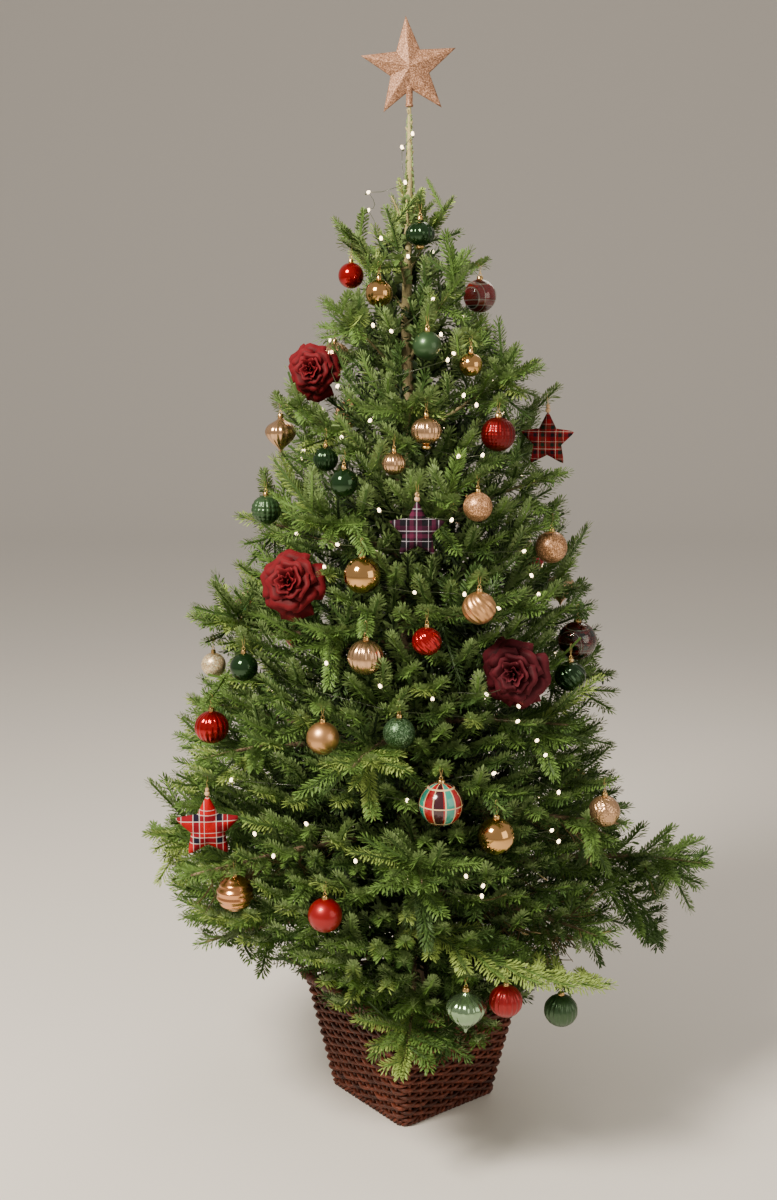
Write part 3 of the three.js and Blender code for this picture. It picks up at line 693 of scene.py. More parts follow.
def side_shoots(path, kept, roll=0):
    """Shoots on alternate sides of a limb's path, shorter towards its tip, in one plane with a roll."""
    ahead = unit(np.gradient(path, axis=0))
    rest = np.linalg.norm(path[-1] - path, axis=1)
    angle = math.radians(FEATHER.angle)
    shoots = []
    for number, root in enumerate(path[:-1]):
        across = spray_frame(ahead[number], math.radians(roll))[1] * (1 if number % 2 else -1)
        towards = unit(math.cos(angle) * ahead[number] + math.sin(angle) * across + FEATHER.lift * UP)
        tip = root + towards * np.clip(rest[number] * FEATHER.taper, FEATHER.shortest, FEATHER.longest)
        if not kept.blocks(root, tip):
            shoots.append((root, tip, 2))
    return shoots


def low_limb(marks, roll, kept):
    """A limb in an arc through its start, middle and end, with its side shoots."""
    share = np.linspace(0, 1, 17)[:, None]
    start, middle, end = np.array(marks)
    path = start * (1 - share) * (1 - 2 * share) + middle * 4 * share * (1 - share)
    path += end * share * (2 * share - 1)
    stem = [(root, tip, 0) for root, tip in zip(path[:-1:2], path[2::2])]
    return stem + side_shoots(path, kept, roll)


def fill_shoots(boughs, shoots, kept):
    """Shoots for the places left empty, from the inside out, each from the limb that reaches it best."""
    draws = np.random.default_rng(FILL.seed)
    room = Room()
    for root, tip, _ in shoots:
        room.take(root, tip)
    limbs = [bough_point(bough, np.arange(20, bough.reach, FILL.limb_step)) for bough in boughs]
    limbs.append(trunk_axis(np.arange(SPIRAL[0, 0], SPIRAL[-1, 0], FILL.limb_step)))
    limbs += [root + np.outer([0.25, 0.5, 0.75], tip - root) for root, tip, _ in shoots]
    limbs = np.concatenate(limbs)
    count = len(limbs)
    limbs = np.concatenate([limbs, np.zeros((FILL.trials, 3))])

    reach = OUTLINE[:, 1:].max()
    places = draws.uniform((-reach, -reach, CROWN.lowest), (reach, reach, CROWN.top), (FILL.trials, 3))
    shares = crown_share(places)
    inside = (shares > FILL.first_share) & (shares < 1)
    order = np.argsort((shares + draws.uniform(0, FILL.disorder, len(shares)))[inside])
    filled = []
    for place in places[inside][order]:
        if not room.is_free(place[None])[0]:
            continue
        rise = np.interp(place[2], SPIRAL[:, 0], SPIRAL[:, 3]) + FILL.extra_rise
        outward = unit(np.array([*unit(place[:2]), rise]))
        runs = place - limbs[:count]
        lengths = np.linalg.norm(runs, axis=1)
        cost = lengths * (FILL.straight - runs @ outward / lengths)
        nearest = FILL.nearest if place[2] < FILL.high else FILL.high_nearest
        cost[(lengths < nearest) | (lengths > FILL.farthest)] = np.inf
        best = int(np.argmin(cost))
        if cost[best] == np.inf:
            continue
        root, run = limbs[best], runs[best]
        if kept.blocks(root, place):
            continue
        new = [(root, place, 1)]
        if lengths[best] > FILL.fork_from:
            roll = math.radians(draws.uniform(-FILL.fork_roll, FILL.fork_roll))
            own_frame = spray_frame(run / lengths[best], roll)
            for side in (1, -1):
                angle = math.radians(FILL.fork_angle)
                towards = math.cos(angle) * own_frame[0] + side * math.sin(angle) * own_frame[1]
                start = root + FILL.fork_at * run
                tip = start + towards * lengths[best] * FILL.fork_length
                fits = crown_share(tip[None])[0] < FILL.fork_reach and room.is_free(tip[None])[0]
                if fits and not kept.blocks(start, tip):
                    new.append((start, tip, 2))
        for start, tip, _ in new:
            room.take(start, tip)
            limbs[count:count + 2] = start + np.outer([0.4, 0.7], tip - start)
            count += 2
        filled += new
    return filled + carrying_shoots(limbs[:count], decorations(), kept)


@functools.lru_cache(maxsize=None)
def crown_plan():
    """All boughs, and all shoots that carry needles, in millimetres from the trunk's foot."""
    boughs, shoots = [], []
    kept = Kept(decorations())
    for tier, level in enumerate(TIERS):
        ring = [plan_bough(tier, index) for index in range(len(level.azimuths))]
        for index, bough in enumerate(ring):
            for spray in plan_sprays(bough, borders_of(ring, index)):
                own = spray_shoots(spray)
                tips = np.array([tip for _, tip, _ in own])
                low = (tips[:, 2] < underside(tips) - DROOP).any()
                if not low and not any(kept.blocks(root, tip) for root, tip, _ in own):
                    shoots += own
        boughs += ring
    for bough in boughs:
        marks = bough_point(bough, np.linspace(foliage_start(bough), bough.reach, NEEDLED_PARTS + 1))
        shoots += [(root, tip, 0) for root, tip in zip(marks[:-1], marks[1:])]
        outer = np.arange(FEATHER.first_share * bough.reach, bough.reach, FEATHER.step)
        shoots += side_shoots(bough_point(bough, outer), kept, bough.roll)
    front, *others = [low_limb(marks, roll, kept) for marks, roll in LOW_LIMBS]
    young = range(len(shoots), len(shoots) + len(front))
    leader = [(trunk_axis(low), trunk_axis(high), 0) for low, high in LEADER_SHOOTS]
    shoots += sum(others, front) + leader + [(root, tip, 0) for root, tip in candle_runs()]
    shoots += fill_shoots(boughs, shoots, kept)
    roots, tips, orders = (np.array(column) for column in zip(*shoots))
    tiers = np.searchsorted(SPIRAL[1:-1, 0], (roots[:, 2] + tips[:, 2]) / 2)
    # Paler the further out a shoot stands: partly because outer needles are younger, partly as painted shade
    # deep in the crown.
    outward = np.minimum(crown_share(tips) % OUTSIDE, FARTHEST_OUT)
    paleness = outward + np.interp(tips[:, 2], *PALER_TOP)
    # Painted shade: shoots towards the right are dealt darker greens, most strongly low down.
    paleness -= np.interp(tips[:, 0], *PAINTED_SHADE) * np.interp(tips[:, 2], *PAINTED_SHADE_SHARE)
    paleness[young] += PALER_YOUNG
    bare = np.random.default_rng(13).random(len(tips)) < bare_share(tips)
    bare[young] = False
    return boughs, Sizes(roots=roots, tips=tips, orders=orders, tiers=tiers, outward=outward,
                         paleness=paleness, bare=bare)


# Meshes.

def mesh_piece(name, points, faces, materials, slots=None, smooth=False):
    """A piece from arrays in metres: its corners, faces of equal size, and each face's material."""
    mesh = bpy.data.meshes.new(name)
    mesh.vertices.add(len(points))
    mesh.vertices.foreach_set("co", np.ascontiguousarray(points, np.float32).ravel())
    mesh.loops.add(faces.size)
    mesh.loops.foreach_set("vertex_index", np.ascontiguousarray(faces, np.int32).ravel())
    mesh.polygons.add(len(faces))
    mesh.polygons.foreach_set("loop_start", np.arange(0, faces.size, faces.shape[1], dtype=np.int32))
    if slots is not None:
        mesh.polygons.foreach_set("material_index", np.ascontiguousarray(slots, np.int32))
    mesh.polygons.foreach_set("use_smooth", np.full(len(faces), smooth))
    mesh.update(calc_edges=True)
    for material in materials:
        mesh.materials.append(material)
    piece = bpy.data.objects.new(name, mesh)
    bpy.context.scene.collection.objects.link(piece)
    return piece


def settle(piece, slot, *replaced):
    """Hands a finished piece over: it rides with the tree and stands for the nodes named."""
    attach(piece, "root")
    if replaced:
        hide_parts(*replaced)
    return piece


def rings_around(path, radii, sides):
    """Rings of corners square to a path, turned as little as can be from one to the next."""
    path = np.asarray(path, float)
    tangents = unit(np.gradient(path, axis=0))
    side = unit(np.cross(tangents[0], UP if abs(tangents[0][2]) < 0.9 else [1.0, 0, 0]))
    angles = 2 * np.pi * np.arange(sides) / sides
    rings = []
    for point, tangent, radius in zip(path, tangents, radii):
        side = unit(side - tangent * (side @ tangent))
        other = np.cross(tangent, side)
        rings.append(point + radius * (np.outer(np.cos(angles), side) + np.outer(np.sin(angles), other)))
    return np.array(rings)


def skin_faces(ring_count, sides):
    """Triangles over rings of equal count, with a fan over each end."""
    ring, i = np.meshgrid(np.arange(ring_count - 1), np.arange(sides), indexing="ij")
    a, b = ring * sides + i, ring * sides + (i + 1) % sides
    walls = np.stack([a, b, b + sides, a, b + sides, a + sides], axis=-1).reshape(-1, 3)
    fan = np.stack([np.zeros(sides - 2, int), np.arange(1, sides - 1), np.arange(2, sides)], axis=-1)
    return np.concatenate([walls, fan[:, ::-1], fan + (ring_count - 1) * sides])


def basket_path(side, count, inset=0.0):
    """Points evenly spaced along a square with round corners, and the outward directions there."""
    corner = BASKET.corner_radius - inset
    half = side / 2 - BASKET.corner_radius
    quarter = 2 * half + corner * math.pi / 2
    number, run = np.divmod(np.arange(count) / count * 4 * quarter, quarter)
    arc = np.clip(run - 2 * half, 0, None) / corner
    flat = np.stack([np.minimum(run, 2 * half) - half + corner * np.sin(arc), -half - corner * np.cos(arc)])
    turn = number * math.pi / 2 + math.radians(BASKET.turn)

    def turned(x, y):
        return np.stack([x * np.cos(turn) - y * np.sin(turn), x * np.sin(turn) + y * np.cos(turn),
                         np.zeros(count)], axis=-1)
    return turned(*flat), turned(np.sin(arc), -np.cos(arc))


def edges_of(paths):
    """Edges along paths, each an array of points and whether it closes."""
    edges, first = [], 0
    for points, closed in paths:
        own = first + np.arange(len(points))
        pairs = np.stack([own, np.roll(own, -1)], axis=-1)
        edges.append(pairs if closed else pairs[:-1])
        first += len(points)
    return np.concatenate(edges)


def add_node(tree, kind, values=None, links=None, feeds=None, stops=(), **settings):
    """Adds a node with its settings, values and colour stops, what feeds its inputs and what it feeds."""
    node = tree.nodes.new(kind)
    for name, value in settings.items():
        setattr(node, name, value)
    for key, value in (values or {}).items():
        node.inputs[key].default_value = value
    for key, socket in (links or {}).items():
        tree.links.new(socket, node.inputs[key])
    for key, socket in (feeds or {}).items():
        tree.links.new(node.outputs[key], socket)
    if stops:
        elements = node.color_ramp.elements
        while len(elements) < len(stops):
            elements.new(0.5)
        for element, (place, colour) in zip(elements, stops):
            element.position = place
            element.color = (*colour, 1)
    return node


def start_tree(name, output, **inputs):
    """A geometry tree with its named inputs, and the sockets that bring them."""
    tree = bpy.data.node_groups.new(name, "GeometryNodeTree")
    for label, kind in inputs.items():
        tree.interface.new_socket(label, in_out="INPUT", socket_type=f"NodeSocket{kind}")
    tree.interface.new_socket(output, in_out="OUTPUT", socket_type="NodeSocketGeometry")
    return tree, add_node(tree, "NodeGroupInput").outputs


def end_tree(tree, output, geometry, material):
    """Ends a geometry tree in real geometry of one material."""
    real = add_node(tree, "GeometryNodeRealizeInstances", links={"Geometry": geometry})
    dressed = add_node(tree, "GeometryNodeSetMaterial", links={
        "Geometry": real.outputs["Geometry"], "Material": material})
    add_node(tree, "NodeGroupOutput", links={output: dressed.outputs["Geometry"]})
    return tree


def rods_tree():
    """Geometry nodes that clothe the edges of a piece as round rods."""
    tree, given = start_tree("round_rods", "Rods", Edges="Geometry", Thickness="Float", Sides="Int",
                             Material="Material")
    radius = add_node(tree, "GeometryNodeInputNamedAttribute", {"Name": "rod_radius"}, data_type="FLOAT")
    scaled = add_node(tree, "ShaderNodeMath", operation="MULTIPLY", links={
        0: radius.outputs["Attribute"], 1: given["Thickness"]})
    curve = add_node(tree, "GeometryNodeMeshToCurve", links={"Mesh": given["Edges"]})
    circle = add_node(tree, "GeometryNodeCurvePrimitiveCircle", {"Radius": 1.0}, {
        "Resolution": given["Sides"]})
    rods = add_node(tree, "GeometryNodeCurveToMesh", {"Fill Caps": True}, {
        "Curve": curve.outputs["Curve"], "Profile Curve": circle.outputs["Curve"],
        "Scale": scaled.outputs["Value"]})
    return end_tree(tree, "Rods", rods.outputs["Mesh"], given["Material"])


def grown(piece, tree, **inputs):
    """Runs a geometry tree on a piece with its named inputs, and makes the result the piece's own mesh."""
    modifier = piece.modifiers.new(tree.name, "NODES")
    modifier.node_group = tree
    for socket in tree.interface.items_tree:
        if socket.in_out == "INPUT" and socket.name in inputs:
            modifier[socket.identifier] = inputs[socket.name]
    piece.update_tag()
    evaluated = piece.evaluated_get(bpy.context.evaluated_depsgraph_get())
    mesh = bpy.data.meshes.new_from_object(evaluated)
    piece.modifiers.remove(modifier)
    piece.data = mesh
    mesh.name = piece.name
    return piece


def rods_piece(name, paths, material, thickness=1.0, sides=8):
    """A piece of rods along paths in millimetres, each with points, radius, tone and whether it closes."""
    points = np.concatenate([points for points, _, _, _ in paths])
    edges = edges_of([(points, closed) for points, _, _, closed in paths])
    mesh = bpy.data.meshes.new(name)
    mesh.from_pydata((points * MM).tolist(), edges.tolist(), [])
    for key, column, unit_size in (("rod_radius", 1, MM), ("tone", 2, 1)):
        values = np.concatenate([np.broadcast_to(np.float32(path[column]), len(path[0])) for path in paths])
        values = (values * unit_size).astype(np.float32)
        mesh.attributes.new(key, "FLOAT", "POINT").data.foreach_set("value", values)
    piece = bpy.data.objects.new(name, mesh)
    bpy.context.scene.collection.objects.link(piece)
    tree = bpy.data.node_groups.get("round_rods") or rods_tree()
    grown(piece, tree, Thickness=thickness, Sides=sides, Material=material)
    piece.data.shade_smooth()
    return piece


def lathe(profile, sides=32, relief=None):
    """A turned shape about Z, from pairs of radius and height.

    The relief gives a factor on the radius by angle and by share of the profile.
    """
    profile = np.array(profile, float)
    angles = 2 * np.pi * np.arange(sides) / sides
    radii = profile[:, :1] * np.ones(sides)
    if relief is not None:
        radii = radii * relief(angles[None], np.linspace(0, 1, len(profile))[:, None])
    heights = profile[:, 1:] * np.ones(sides)
    points = np.stack([radii * np.cos(angles), radii * np.sin(angles), heights], axis=-1)
    return points.reshape(-1, 3), skin_faces(len(profile), sides)


# Materials.

def new_material(name, colour, roughness, **values):
    """A material with one glossy shader, and its tree and shader for what is added to them."""
    material = bpy.data.materials.new(name)
    material.use_nodes = True
    shader = material.node_tree.nodes["Principled BSDF"]
    shader.inputs["Base Color"].default_value = (*colour, 1)
    shader.inputs["Roughness"].default_value = roughness
    for key, value in values.items():
        shader.inputs[key.replace("_", " ")].default_value = value
    material.diffuse_color = (*colour, 1)
    return material, material.node_tree, shader


def surface_grain(tree, scale, stretch=(1, 1, 1), detail=4.0):
    """An uneven grain on the piece's own coordinates, with features of about a metre over the scale."""
    place = add_node(tree, "ShaderNodeTexCoord")
    mapping = add_node(tree, "ShaderNodeMapping", {"Scale": stretch}, {"Vector": place.outputs["Object"]})
    grain = add_node(tree, "ShaderNodeTexNoise", {"Scale": scale, "Detail": detail},
                     {"Vector": mapping.outputs["Vector"]})
    return grain.outputs["Fac"]


def fir_needle(name, colour):
    """Waxy living fir needle: a plain dealt-out green with the soft gloss of its wax."""
    return new_material(name, colour, 0.55, IOR=1.4)[0]


def young_fir_bark():
    """Smooth grey-brown bark of a young fir, with resin blisters and lenticels, paler towards the top."""
    material, tree, shader = new_material("young_fir_bark", linear("75614c"), 0.85)
    patches = add_node(tree, "ShaderNodeValToRGB", links={"Fac": surface_grain(tree, 60, (1, 1, 0.35), 6.0)},
                       stops=[(0.3, linear("43352a")), (0.5, linear("75614c")), (0.72, linear("9a8769"))])
    place = add_node(tree, "ShaderNodeTexCoord")
    height = add_node(tree, "ShaderNodeSeparateXYZ", links={"Vector": place.outputs["Object"]})
    young = add_node(tree, "ShaderNodeMapRange", {"From Min": 1.25, "From Max": 1.72},
                     {"Value": height.outputs["Z"]})
    add_node(tree, "ShaderNodeMix", {"B": (*linear("a59a6c"), 1)}, {
        "Factor": young.outputs["Result"], "A": patches.outputs["Color"]},
        {"Result": shader.inputs["Base Color"]}, data_type="RGBA")
    add_node(tree, "ShaderNodeBump", {"Distance": 0.0012}, {
        "Height": surface_grain(tree, 260, (1, 1, 0.4), 3.0)}, {"Normal": shader.inputs["Normal"]})
    return material


def fir_twig_bark():
    """Olive-brown bark of last year's shoots, finely hairy, so matt."""
    material, tree, shader = new_material("fir_twig_bark", linear("5b4a30"), 0.8)
    add_node(tree, "ShaderNodeValToRGB", links={"Fac": surface_grain(tree, 90)},
             feeds={"Color": shader.inputs["Base Color"]},
             stops=[(0.35, linear("4a3a24")), (0.65, linear("6d6038"))])
    return material


class CrownSettings(bpy.types.PropertyGroup):
    """Sizes and colours of the needles, twigs and bark."""

    needle_length: bpy.props.FloatProperty(
        name="Needle length", description="Length of the longest needles", default=0.0235, min=0.005,
        unit="LENGTH")
    needle_width: bpy.props.FloatProperty(
        name="Needle width", description="Width of a needle, larger than life so that fewer are needed",
        default=0.0033, min=0.0005, unit="LENGTH")
    needles_per_metre: bpy.props.IntProperty(
        name="Needles per metre", description="Needles on each metre of outer shoot", default=1200, min=10)
    # The greens run from inner to outer by how far out a shoot stands: partly the needles' age, partly
    # painted shade that is darkest deep in the crown.
    inner_green: bpy.props.FloatVectorProperty(
        name="Inner green", description="Colour of the oldest needles", subtype="COLOR",
        default=linear("1c2c15"))
    middle_green: bpy.props.FloatVectorProperty(
        name="Middle green", description="Colour of the needles halfway out", subtype="COLOR",
        default=linear("3c5727"))
    outer_green: bpy.props.FloatVectorProperty(
        name="Outer green", description="Colour of the outer needles", subtype="COLOR",
        default=linear("5b7a37"))
    tip_green: bpy.props.FloatVectorProperty(
        name="Tip green", description="Colour of last season's needles", subtype="COLOR",
        default=linear("8ea552"))
    underside: bpy.props.FloatVectorProperty(
        name="Underside", description="Colour of the pale bands under the needles", subtype="COLOR",
        default=linear("6f8750"))


def shoot_places(shoots, owner, share):
    """Places along shoots, which sag between root and tip, and the shoots' directions there."""
    runs = (shoots.tips - shoots.roots)[owner]
    bend = 4 * SHOOT_BEND * (shoots.orders[owner] > 0)[:, None] * np.linalg.norm(runs, axis=1)[:, None]
    places = shoots.roots[owner] + runs * share - bend * share * (1 - share) * UP
    return places, unit(runs - bend * (1 - 2 * share) * UP)


def twigs_mesh(shoots, root_radii, tip_radii, sides=3, steps=3):
    """One tapered twig for each shoot, from its root to its tip, as arrays."""
    along = unit(shoots.tips - shoots.roots)
    across = unit(np.cross(along, np.where(np.abs(along[:, 2:]) < 0.9, UP, [1.0, 0, 0])))
    over = np.cross(across, along)
    shares = np.linspace(0, 1, steps)
    angles = 2 * np.pi * np.arange(sides) / sides
    around = np.cos(angles)[:, None, None] * across + np.sin(angles)[:, None, None] * over
    radii = mix(root_radii, tip_radii, shares[:, None]) * np.ones(len(along))
    middle = shoot_places(shoots, np.arange(len(along)), shares[:, None, None])[0]
    points = middle[:, None] + radii[:, None, :, None] * around[None]
    points = np.moveaxis(points, 2, 0).reshape(-1, 3)
    faces = skin_faces(steps, sides)[:, ::-1]
    offsets = np.arange(len(along))[:, None, None] * (steps * sides)
    return points, (faces[None] + offsets).reshape(-1, 3)


def needle_arrays(shoots, counts, settings, draws):
    """Needles as closed blades of four faces, set round their shoots and parted on the underside."""
    owner = np.repeat(np.arange(len(counts)), counts)
    number = np.arange(len(owner)) - np.repeat(np.cumsum(counts) - counts, counts)
    share = (number + draws.random(len(owner))) / counts[owner]
    share = mix(NEEDLE.first_share, 1.0, share)
    places, along = shoot_places(shoots, owner, share[:, None])
    above = UP - along * (along @ UP)[:, None]
    steep = np.linalg.norm(above, axis=1, keepdims=True) < NEEDLE.steep
    outward = shoots.roots[owner] * [1, 1, 0]
    above = unit(np.where(steep, outward - along * (outward * along).sum(axis=1)[:, None], above))
    beside = np.cross(along, above)

    # Round the shoot the needles leave the underside free, and those on top lean furthest forward.
    turn = np.radians(GROWTH.turn_step) * number + draws.random(len(owner)) * NEEDLE.turn_jitter
    turn = ((turn + np.pi) % (2 * np.pi) - np.pi) * NEEDLE.wrap
    top = (1 + np.cos(turn)) / 2
    end = np.clip((share - NEEDLE.end_from) / (1 - NEEDLE.end_from), 0, 1)
    lean = mix(mix(NEEDLE.lean_below, NEEDLE.lean_top, top), NEEDLE.lean_end, end)
    lean = np.radians(lean + draws.normal(0, NEEDLE.unevenness, len(owner)))
    radial = above * np.cos(turn)[:, None] + beside * np.sin(turn)[:, None]
    direction = along * np.cos(lean)[:, None] + radial * np.sin(lean)[:, None]
    length = settings.needle_length / MM * mix(1.0, NEEDLE.top_length, top) * mix(1.0, NEEDLE.end_length, end)
    near_foot = np.clip(NEEDLE.foot_length + share * NEEDLE.foot_growth, 0, 1)
    length *= mix(*NEEDLE.lengths, draws.random(len(owner))) * near_foot
    length *= np.interp(places[:, 2], *TOP_NEEDLES)

    over = above + draws.normal(0, NEEDLE.twist, (len(owner), 3))
    over = unit(over - direction * (over * direction).sum(axis=1)[:, None])
    across = np.cross(over, direction)
    inside = np.clip((NEEDLE.inner_from - shoots.outward[owner]) / NEEDLE.inner_depth, 0, 1)
    half = (settings.needle_width / MM / 2 * mix(1, NEEDLE.inner_width, inside))[:, None]
    length *= mix(1, NEEDLE.inner_length, inside)
    root = places + radial * NEEDLE.foot
    broad = root + direction * (length * NEEDLE.broadest_at)[:, None] - over * NEEDLE.keel
    points = np.stack([root, root + direction * length[:, None], broad + across * half,
                       broad - across * half], axis=1)
    return points.reshape(-1, 3), owner


NEEDLE_FACES = np.array([[0, 1, 2], [0, 3, 1], [0, 2, 3], [1, 3, 2]])
UNDERSIDE_SLOT = 4


# How long needles are towards the top, over their usual length, by height.
TOP_NEEDLES = [(1600, 1800, 1880, 1950), (1.0, 0.85, 0.5, 0.24)]

# How full of needles a shoot is, by how far out it stands.
FULLNESS = [(0.45, 0.62, 0.8, 0.92), (0.26, 0.4, 0.65, 1.0)]
LEVEL_FULLNESS = [(300, 480, 620, 1450, 1700), (0.52, 0.46, 0.0, 0.0, 0.8)]


def needle_counts(shoots, per_metre):
    """How many needles each shoot carries, with fewer deep in the crown and none where they have dropped."""
    lengths = np.linalg.norm(shoots.tips - shoots.roots, axis=1)
    fullness = np.interp(shoots.outward, *FULLNESS)
    fullness = np.maximum(fullness, np.interp(shoots.tips[:, 2], *LEVEL_FULLNESS))
    return np.round(lengths * MM * per_metre * fullness).astype(int) * ~shoots.bare


def bare_twigs():
    """Twigs without needles that hang from the lowest boughs, each with a side twig."""
    draws = np.random.default_rng(19)
    boughs = [bough for bough in crown_plan()[0] if bough.tier < 2]
    runs = []
    for number in range(BARE.count):
        bough = boughs[number % len(boughs)]
        distance = draws.uniform(BARE.first_share, BARE.last_share) * bough.reach
        root = bough_point(bough, distance)
        towards = bough_direction(bough, distance) + draws.normal(0, BARE.spread, 3) - BARE.droop * UP
        towards = unit(towards)
        tip = root + towards * draws.uniform(BARE.shortest, BARE.longest)
        low = tip[2] < underside(tip[None])[0] - BARE.lowest
        near = mix(root, tip, 0.6)[None] * [1, 1, 0] + [0, 0, BARE_PATCHES[0][2] + 10]
        if low or math.hypot(*tip[:2]) > crown_reach(tip[None])[0] or not bare_share(near)[0]:
            continue
        start = mix(root, tip, 0.5)
        aside = unit(towards + draws.normal(0, BARE.spread, 3)) * BARE.side_share
        runs += [(root, tip), (start, start + aside * np.linalg.norm(tip - root))]
    roots, tips = np.moveaxis(np.array(runs), 1, 0)
    return Sizes(roots=roots, tips=tips, orders=np.ones(len(roots), int))


def chosen(shoots, which):
    return Sizes(**{key: values[which] for key, values in vars(shoots).items()})


class FIR_OT_grow_foliage(bpy.types.Operator):
    """Grows the twigs and needles of every tier in the space its masses hold"""

    bl_idname = "fir.grow_foliage"
    bl_label = "Grow Foliage"

    def execute(self, context):
        settings = context.scene.fir_crown
        greens = [fir_needle(f"fir_needle_{name}", getattr(settings, key)[:]) for name, key in (
            ("inner", "inner_green"), ("middle", "middle_green"), ("outer", "outer_green"),
            ("tip", "tip_green"), ("underside", "underside"))]
        draws = np.random.default_rng(41)
        _, shoots = crown_plan()
        kept = Kept(decorations())
        for tier, level in enumerate(TIERS):
            for side, sign in (("left", -1), ("right", 1)):
                own = chosen(shoots, (shoots.tiers == tier) & (shoots.tips[:, 0] * sign >= 0))
                counts = needle_counts(own, settings.needles_per_metre)
                points, owner = needle_arrays(own, counts, settings, draws)
                held = kept.holds(points[::4], *HANGING.needle_room)
                free = ~(held | kept.holds(points[1::4], *HANGING.needle_room)).any(axis=1)
                points, owner = points[np.repeat(free, 4)], owner[free]
                # Which green a shoot is dealt: paler the further out it stands, which is partly the needles'
                # age and partly painted shade deep in the crown and on the right.
                spread = DEALT.needle_spread
                dealt = own.paleness + draws.uniform(-spread, spread, len(counts))
                shades = np.searchsorted(DEALT.needles, dealt)[owner]
                faces = NEEDLE_FACES[None] + 4 * np.arange(len(owner))[:, None, None]
                slots = np.stack([shades, shades, *[np.full_like(shades, UNDERSIDE_SLOT)] * 2], axis=-1)
                piece = mesh_piece(f"needles_tier_{tier + 1}_{side}", (points + STAND) * MM,
                                   faces.reshape(-1, 3), greens, slots.ravel())
                masses = [f"foliage_{tier + 1}_{index + 1}" for index, azimuth in enumerate(level.azimuths)
                          if math.cos(math.radians(azimuth)) * sign >= 0]
                settle(piece, "needles", *masses)
        lengths = np.linalg.norm(shoots.tips - shoots.roots, axis=1)
        girth = np.clip(lengths / TWIG.usual_length, TWIG.least, TWIG.most)
        root_radii = np.choose(shoots.orders, TWIG.foot_radii) * girth
        points, faces = twigs_mesh(shoots, root_radii, TWIG.tip_radius)
        bark = fir_twig_bark()
        settle(mesh_piece("twigs", (points + STAND) * MM, faces, [bark]), "bark")
        points, faces = twigs_mesh(bare_twigs(), *TWIG.bare_radii, 4)
        settle(mesh_piece("bare_twigs", (points + STAND) * MM, faces, [bark]), "bark")
        green = chosen(shoots, ~shoots.bare)
        count = len(green.tips)
        # The needle bases are dealt the inner, middle and outer greens by how far out they stand, darker on
        # the whole than their needles, partly as painted shade.
        dealt = green.outward + draws.uniform(-DEALT.base_spread, DEALT.base_spread, count)
        shades = np.searchsorted(DEALT.bases, dealt)
        points, faces = twigs_mesh(green, *TWIG.base_radii)
        each = len(faces) // count
        settle(mesh_piece("needle_bases", (points + STAND) * MM, faces, greens[:3], np.repeat(shades, each)),
               "needles")
        return {"FINISHED"}


class FIR_OT_raise_trunk(bpy.types.Operator):
    """Raises the trunk with its bark, root flare, branch collars and bare shoots round the leader"""

    bl_idname = "fir.raise_trunk"
    bl_label = "Raise Trunk"

    def execute(self, context):
        sides, rise = 32, 6
        heights = np.append(np.arange(TRUNK_FOOT, TRUNK.top, rise), TRUNK.top)
        angles = 2 * np.pi * np.arange(sides) / sides
        boughs, _ = crown_plan()
        radii = trunk_radius(heights)[:, None] * np.ones(sides)
        flare = TRUNK.flare_radius * np.exp(-(heights - TRUNK_FOOT) / TRUNK.flare_height)
        radii += flare[:, None] * (1 + TRUNK.lobe_depth * np.cos(TRUNK.flare_lobes * angles))
        for bough in boughs:
            away = (angles - bough.azimuth + np.pi) % (2 * np.pi) - np.pi
            above = (heights[:, None] - bough.foot[2]) / COLLAR.height
            radii += COLLAR.share * limb_radius(bough, 0) * np.exp(-above**2 - (away / COLLAR.turn) ** 2)
        grain = np.random.default_rng(7).normal(0, 1, radii.shape)
        grain = (grain + np.roll(grain, 1, 0) + np.roll(grain, 2, 0) + np.roll(grain, 1, 1)) / 4
        depth = np.clip(trunk_radius(heights) / TRUNK_GRAIN.full_radius, TRUNK_GRAIN.least, TRUNK_GRAIN.most)
        radii += grain * depth[:, None]
        around = np.stack([np.cos(angles), np.sin(angles), np.zeros(sides)], axis=-1)
        points = trunk_axis(heights)[:, None] + radii[..., None] * around
        shape = [(points.reshape(-1, 3), skin_faces(len(heights), sides))]
        for foot, tip in candle_runs():
            path = foot + np.linspace(0, 1, 6)[:, None] * (tip - foot)
            rings = rings_around(path, np.linspace(CANDLES.root_radius, CANDLES.tip_radius, 6), 8)
            shape.append((rings.reshape(-1, 3), skin_faces(6, 8)))
        for number, z in enumerate(np.arange(*BUDS.heights, BUDS.apart)):
            turn = math.radians(GROWTH.turn_step * number)
            out = np.array([math.cos(turn), math.sin(turn), BUDS.rise])
            path = trunk_axis(z) + np.outer(np.linspace(0.25, 1, 5) * BUDS.length, out)
            rings = rings_around(path, BUDS.radius * np.array([1, 1, 0.95, 0.7, 0.2]), 7)
            shape.append((rings.reshape(-1, 3), skin_faces(5, 7)))
        settle(joined("trunk_bark", shape, young_fir_bark(), origin=STAND), "bark", "trunk")
        return {"FINISHED"}


def joined(name, shape, *materials, origin=0):
    """One piece from parts in millimetres: corners, faces, and for some their material and pattern place."""
    offsets = np.cumsum([0] + [len(part[0]) for part in shape])
    points = np.concatenate([part[0] for part in shape])
    faces = np.concatenate([part[1] + offset for part, offset in zip(shape, offsets)])
    slots = np.concatenate([np.full(len(part[1]), part[2] if len(part) > 2 else 0) for part in shape])
    piece = mesh_piece(name, (points + origin) * MM, faces, materials, slots, smooth=True)
    if len(shape[0]) > 3:
        places = np.concatenate([part[3] for part in shape]) * MM
        pattern = piece.data.attributes.new("pattern", "FLOAT_VECTOR", "POINT")
        pattern.data.foreach_set("vector", places.astype(np.float32).ravel())
    return piece


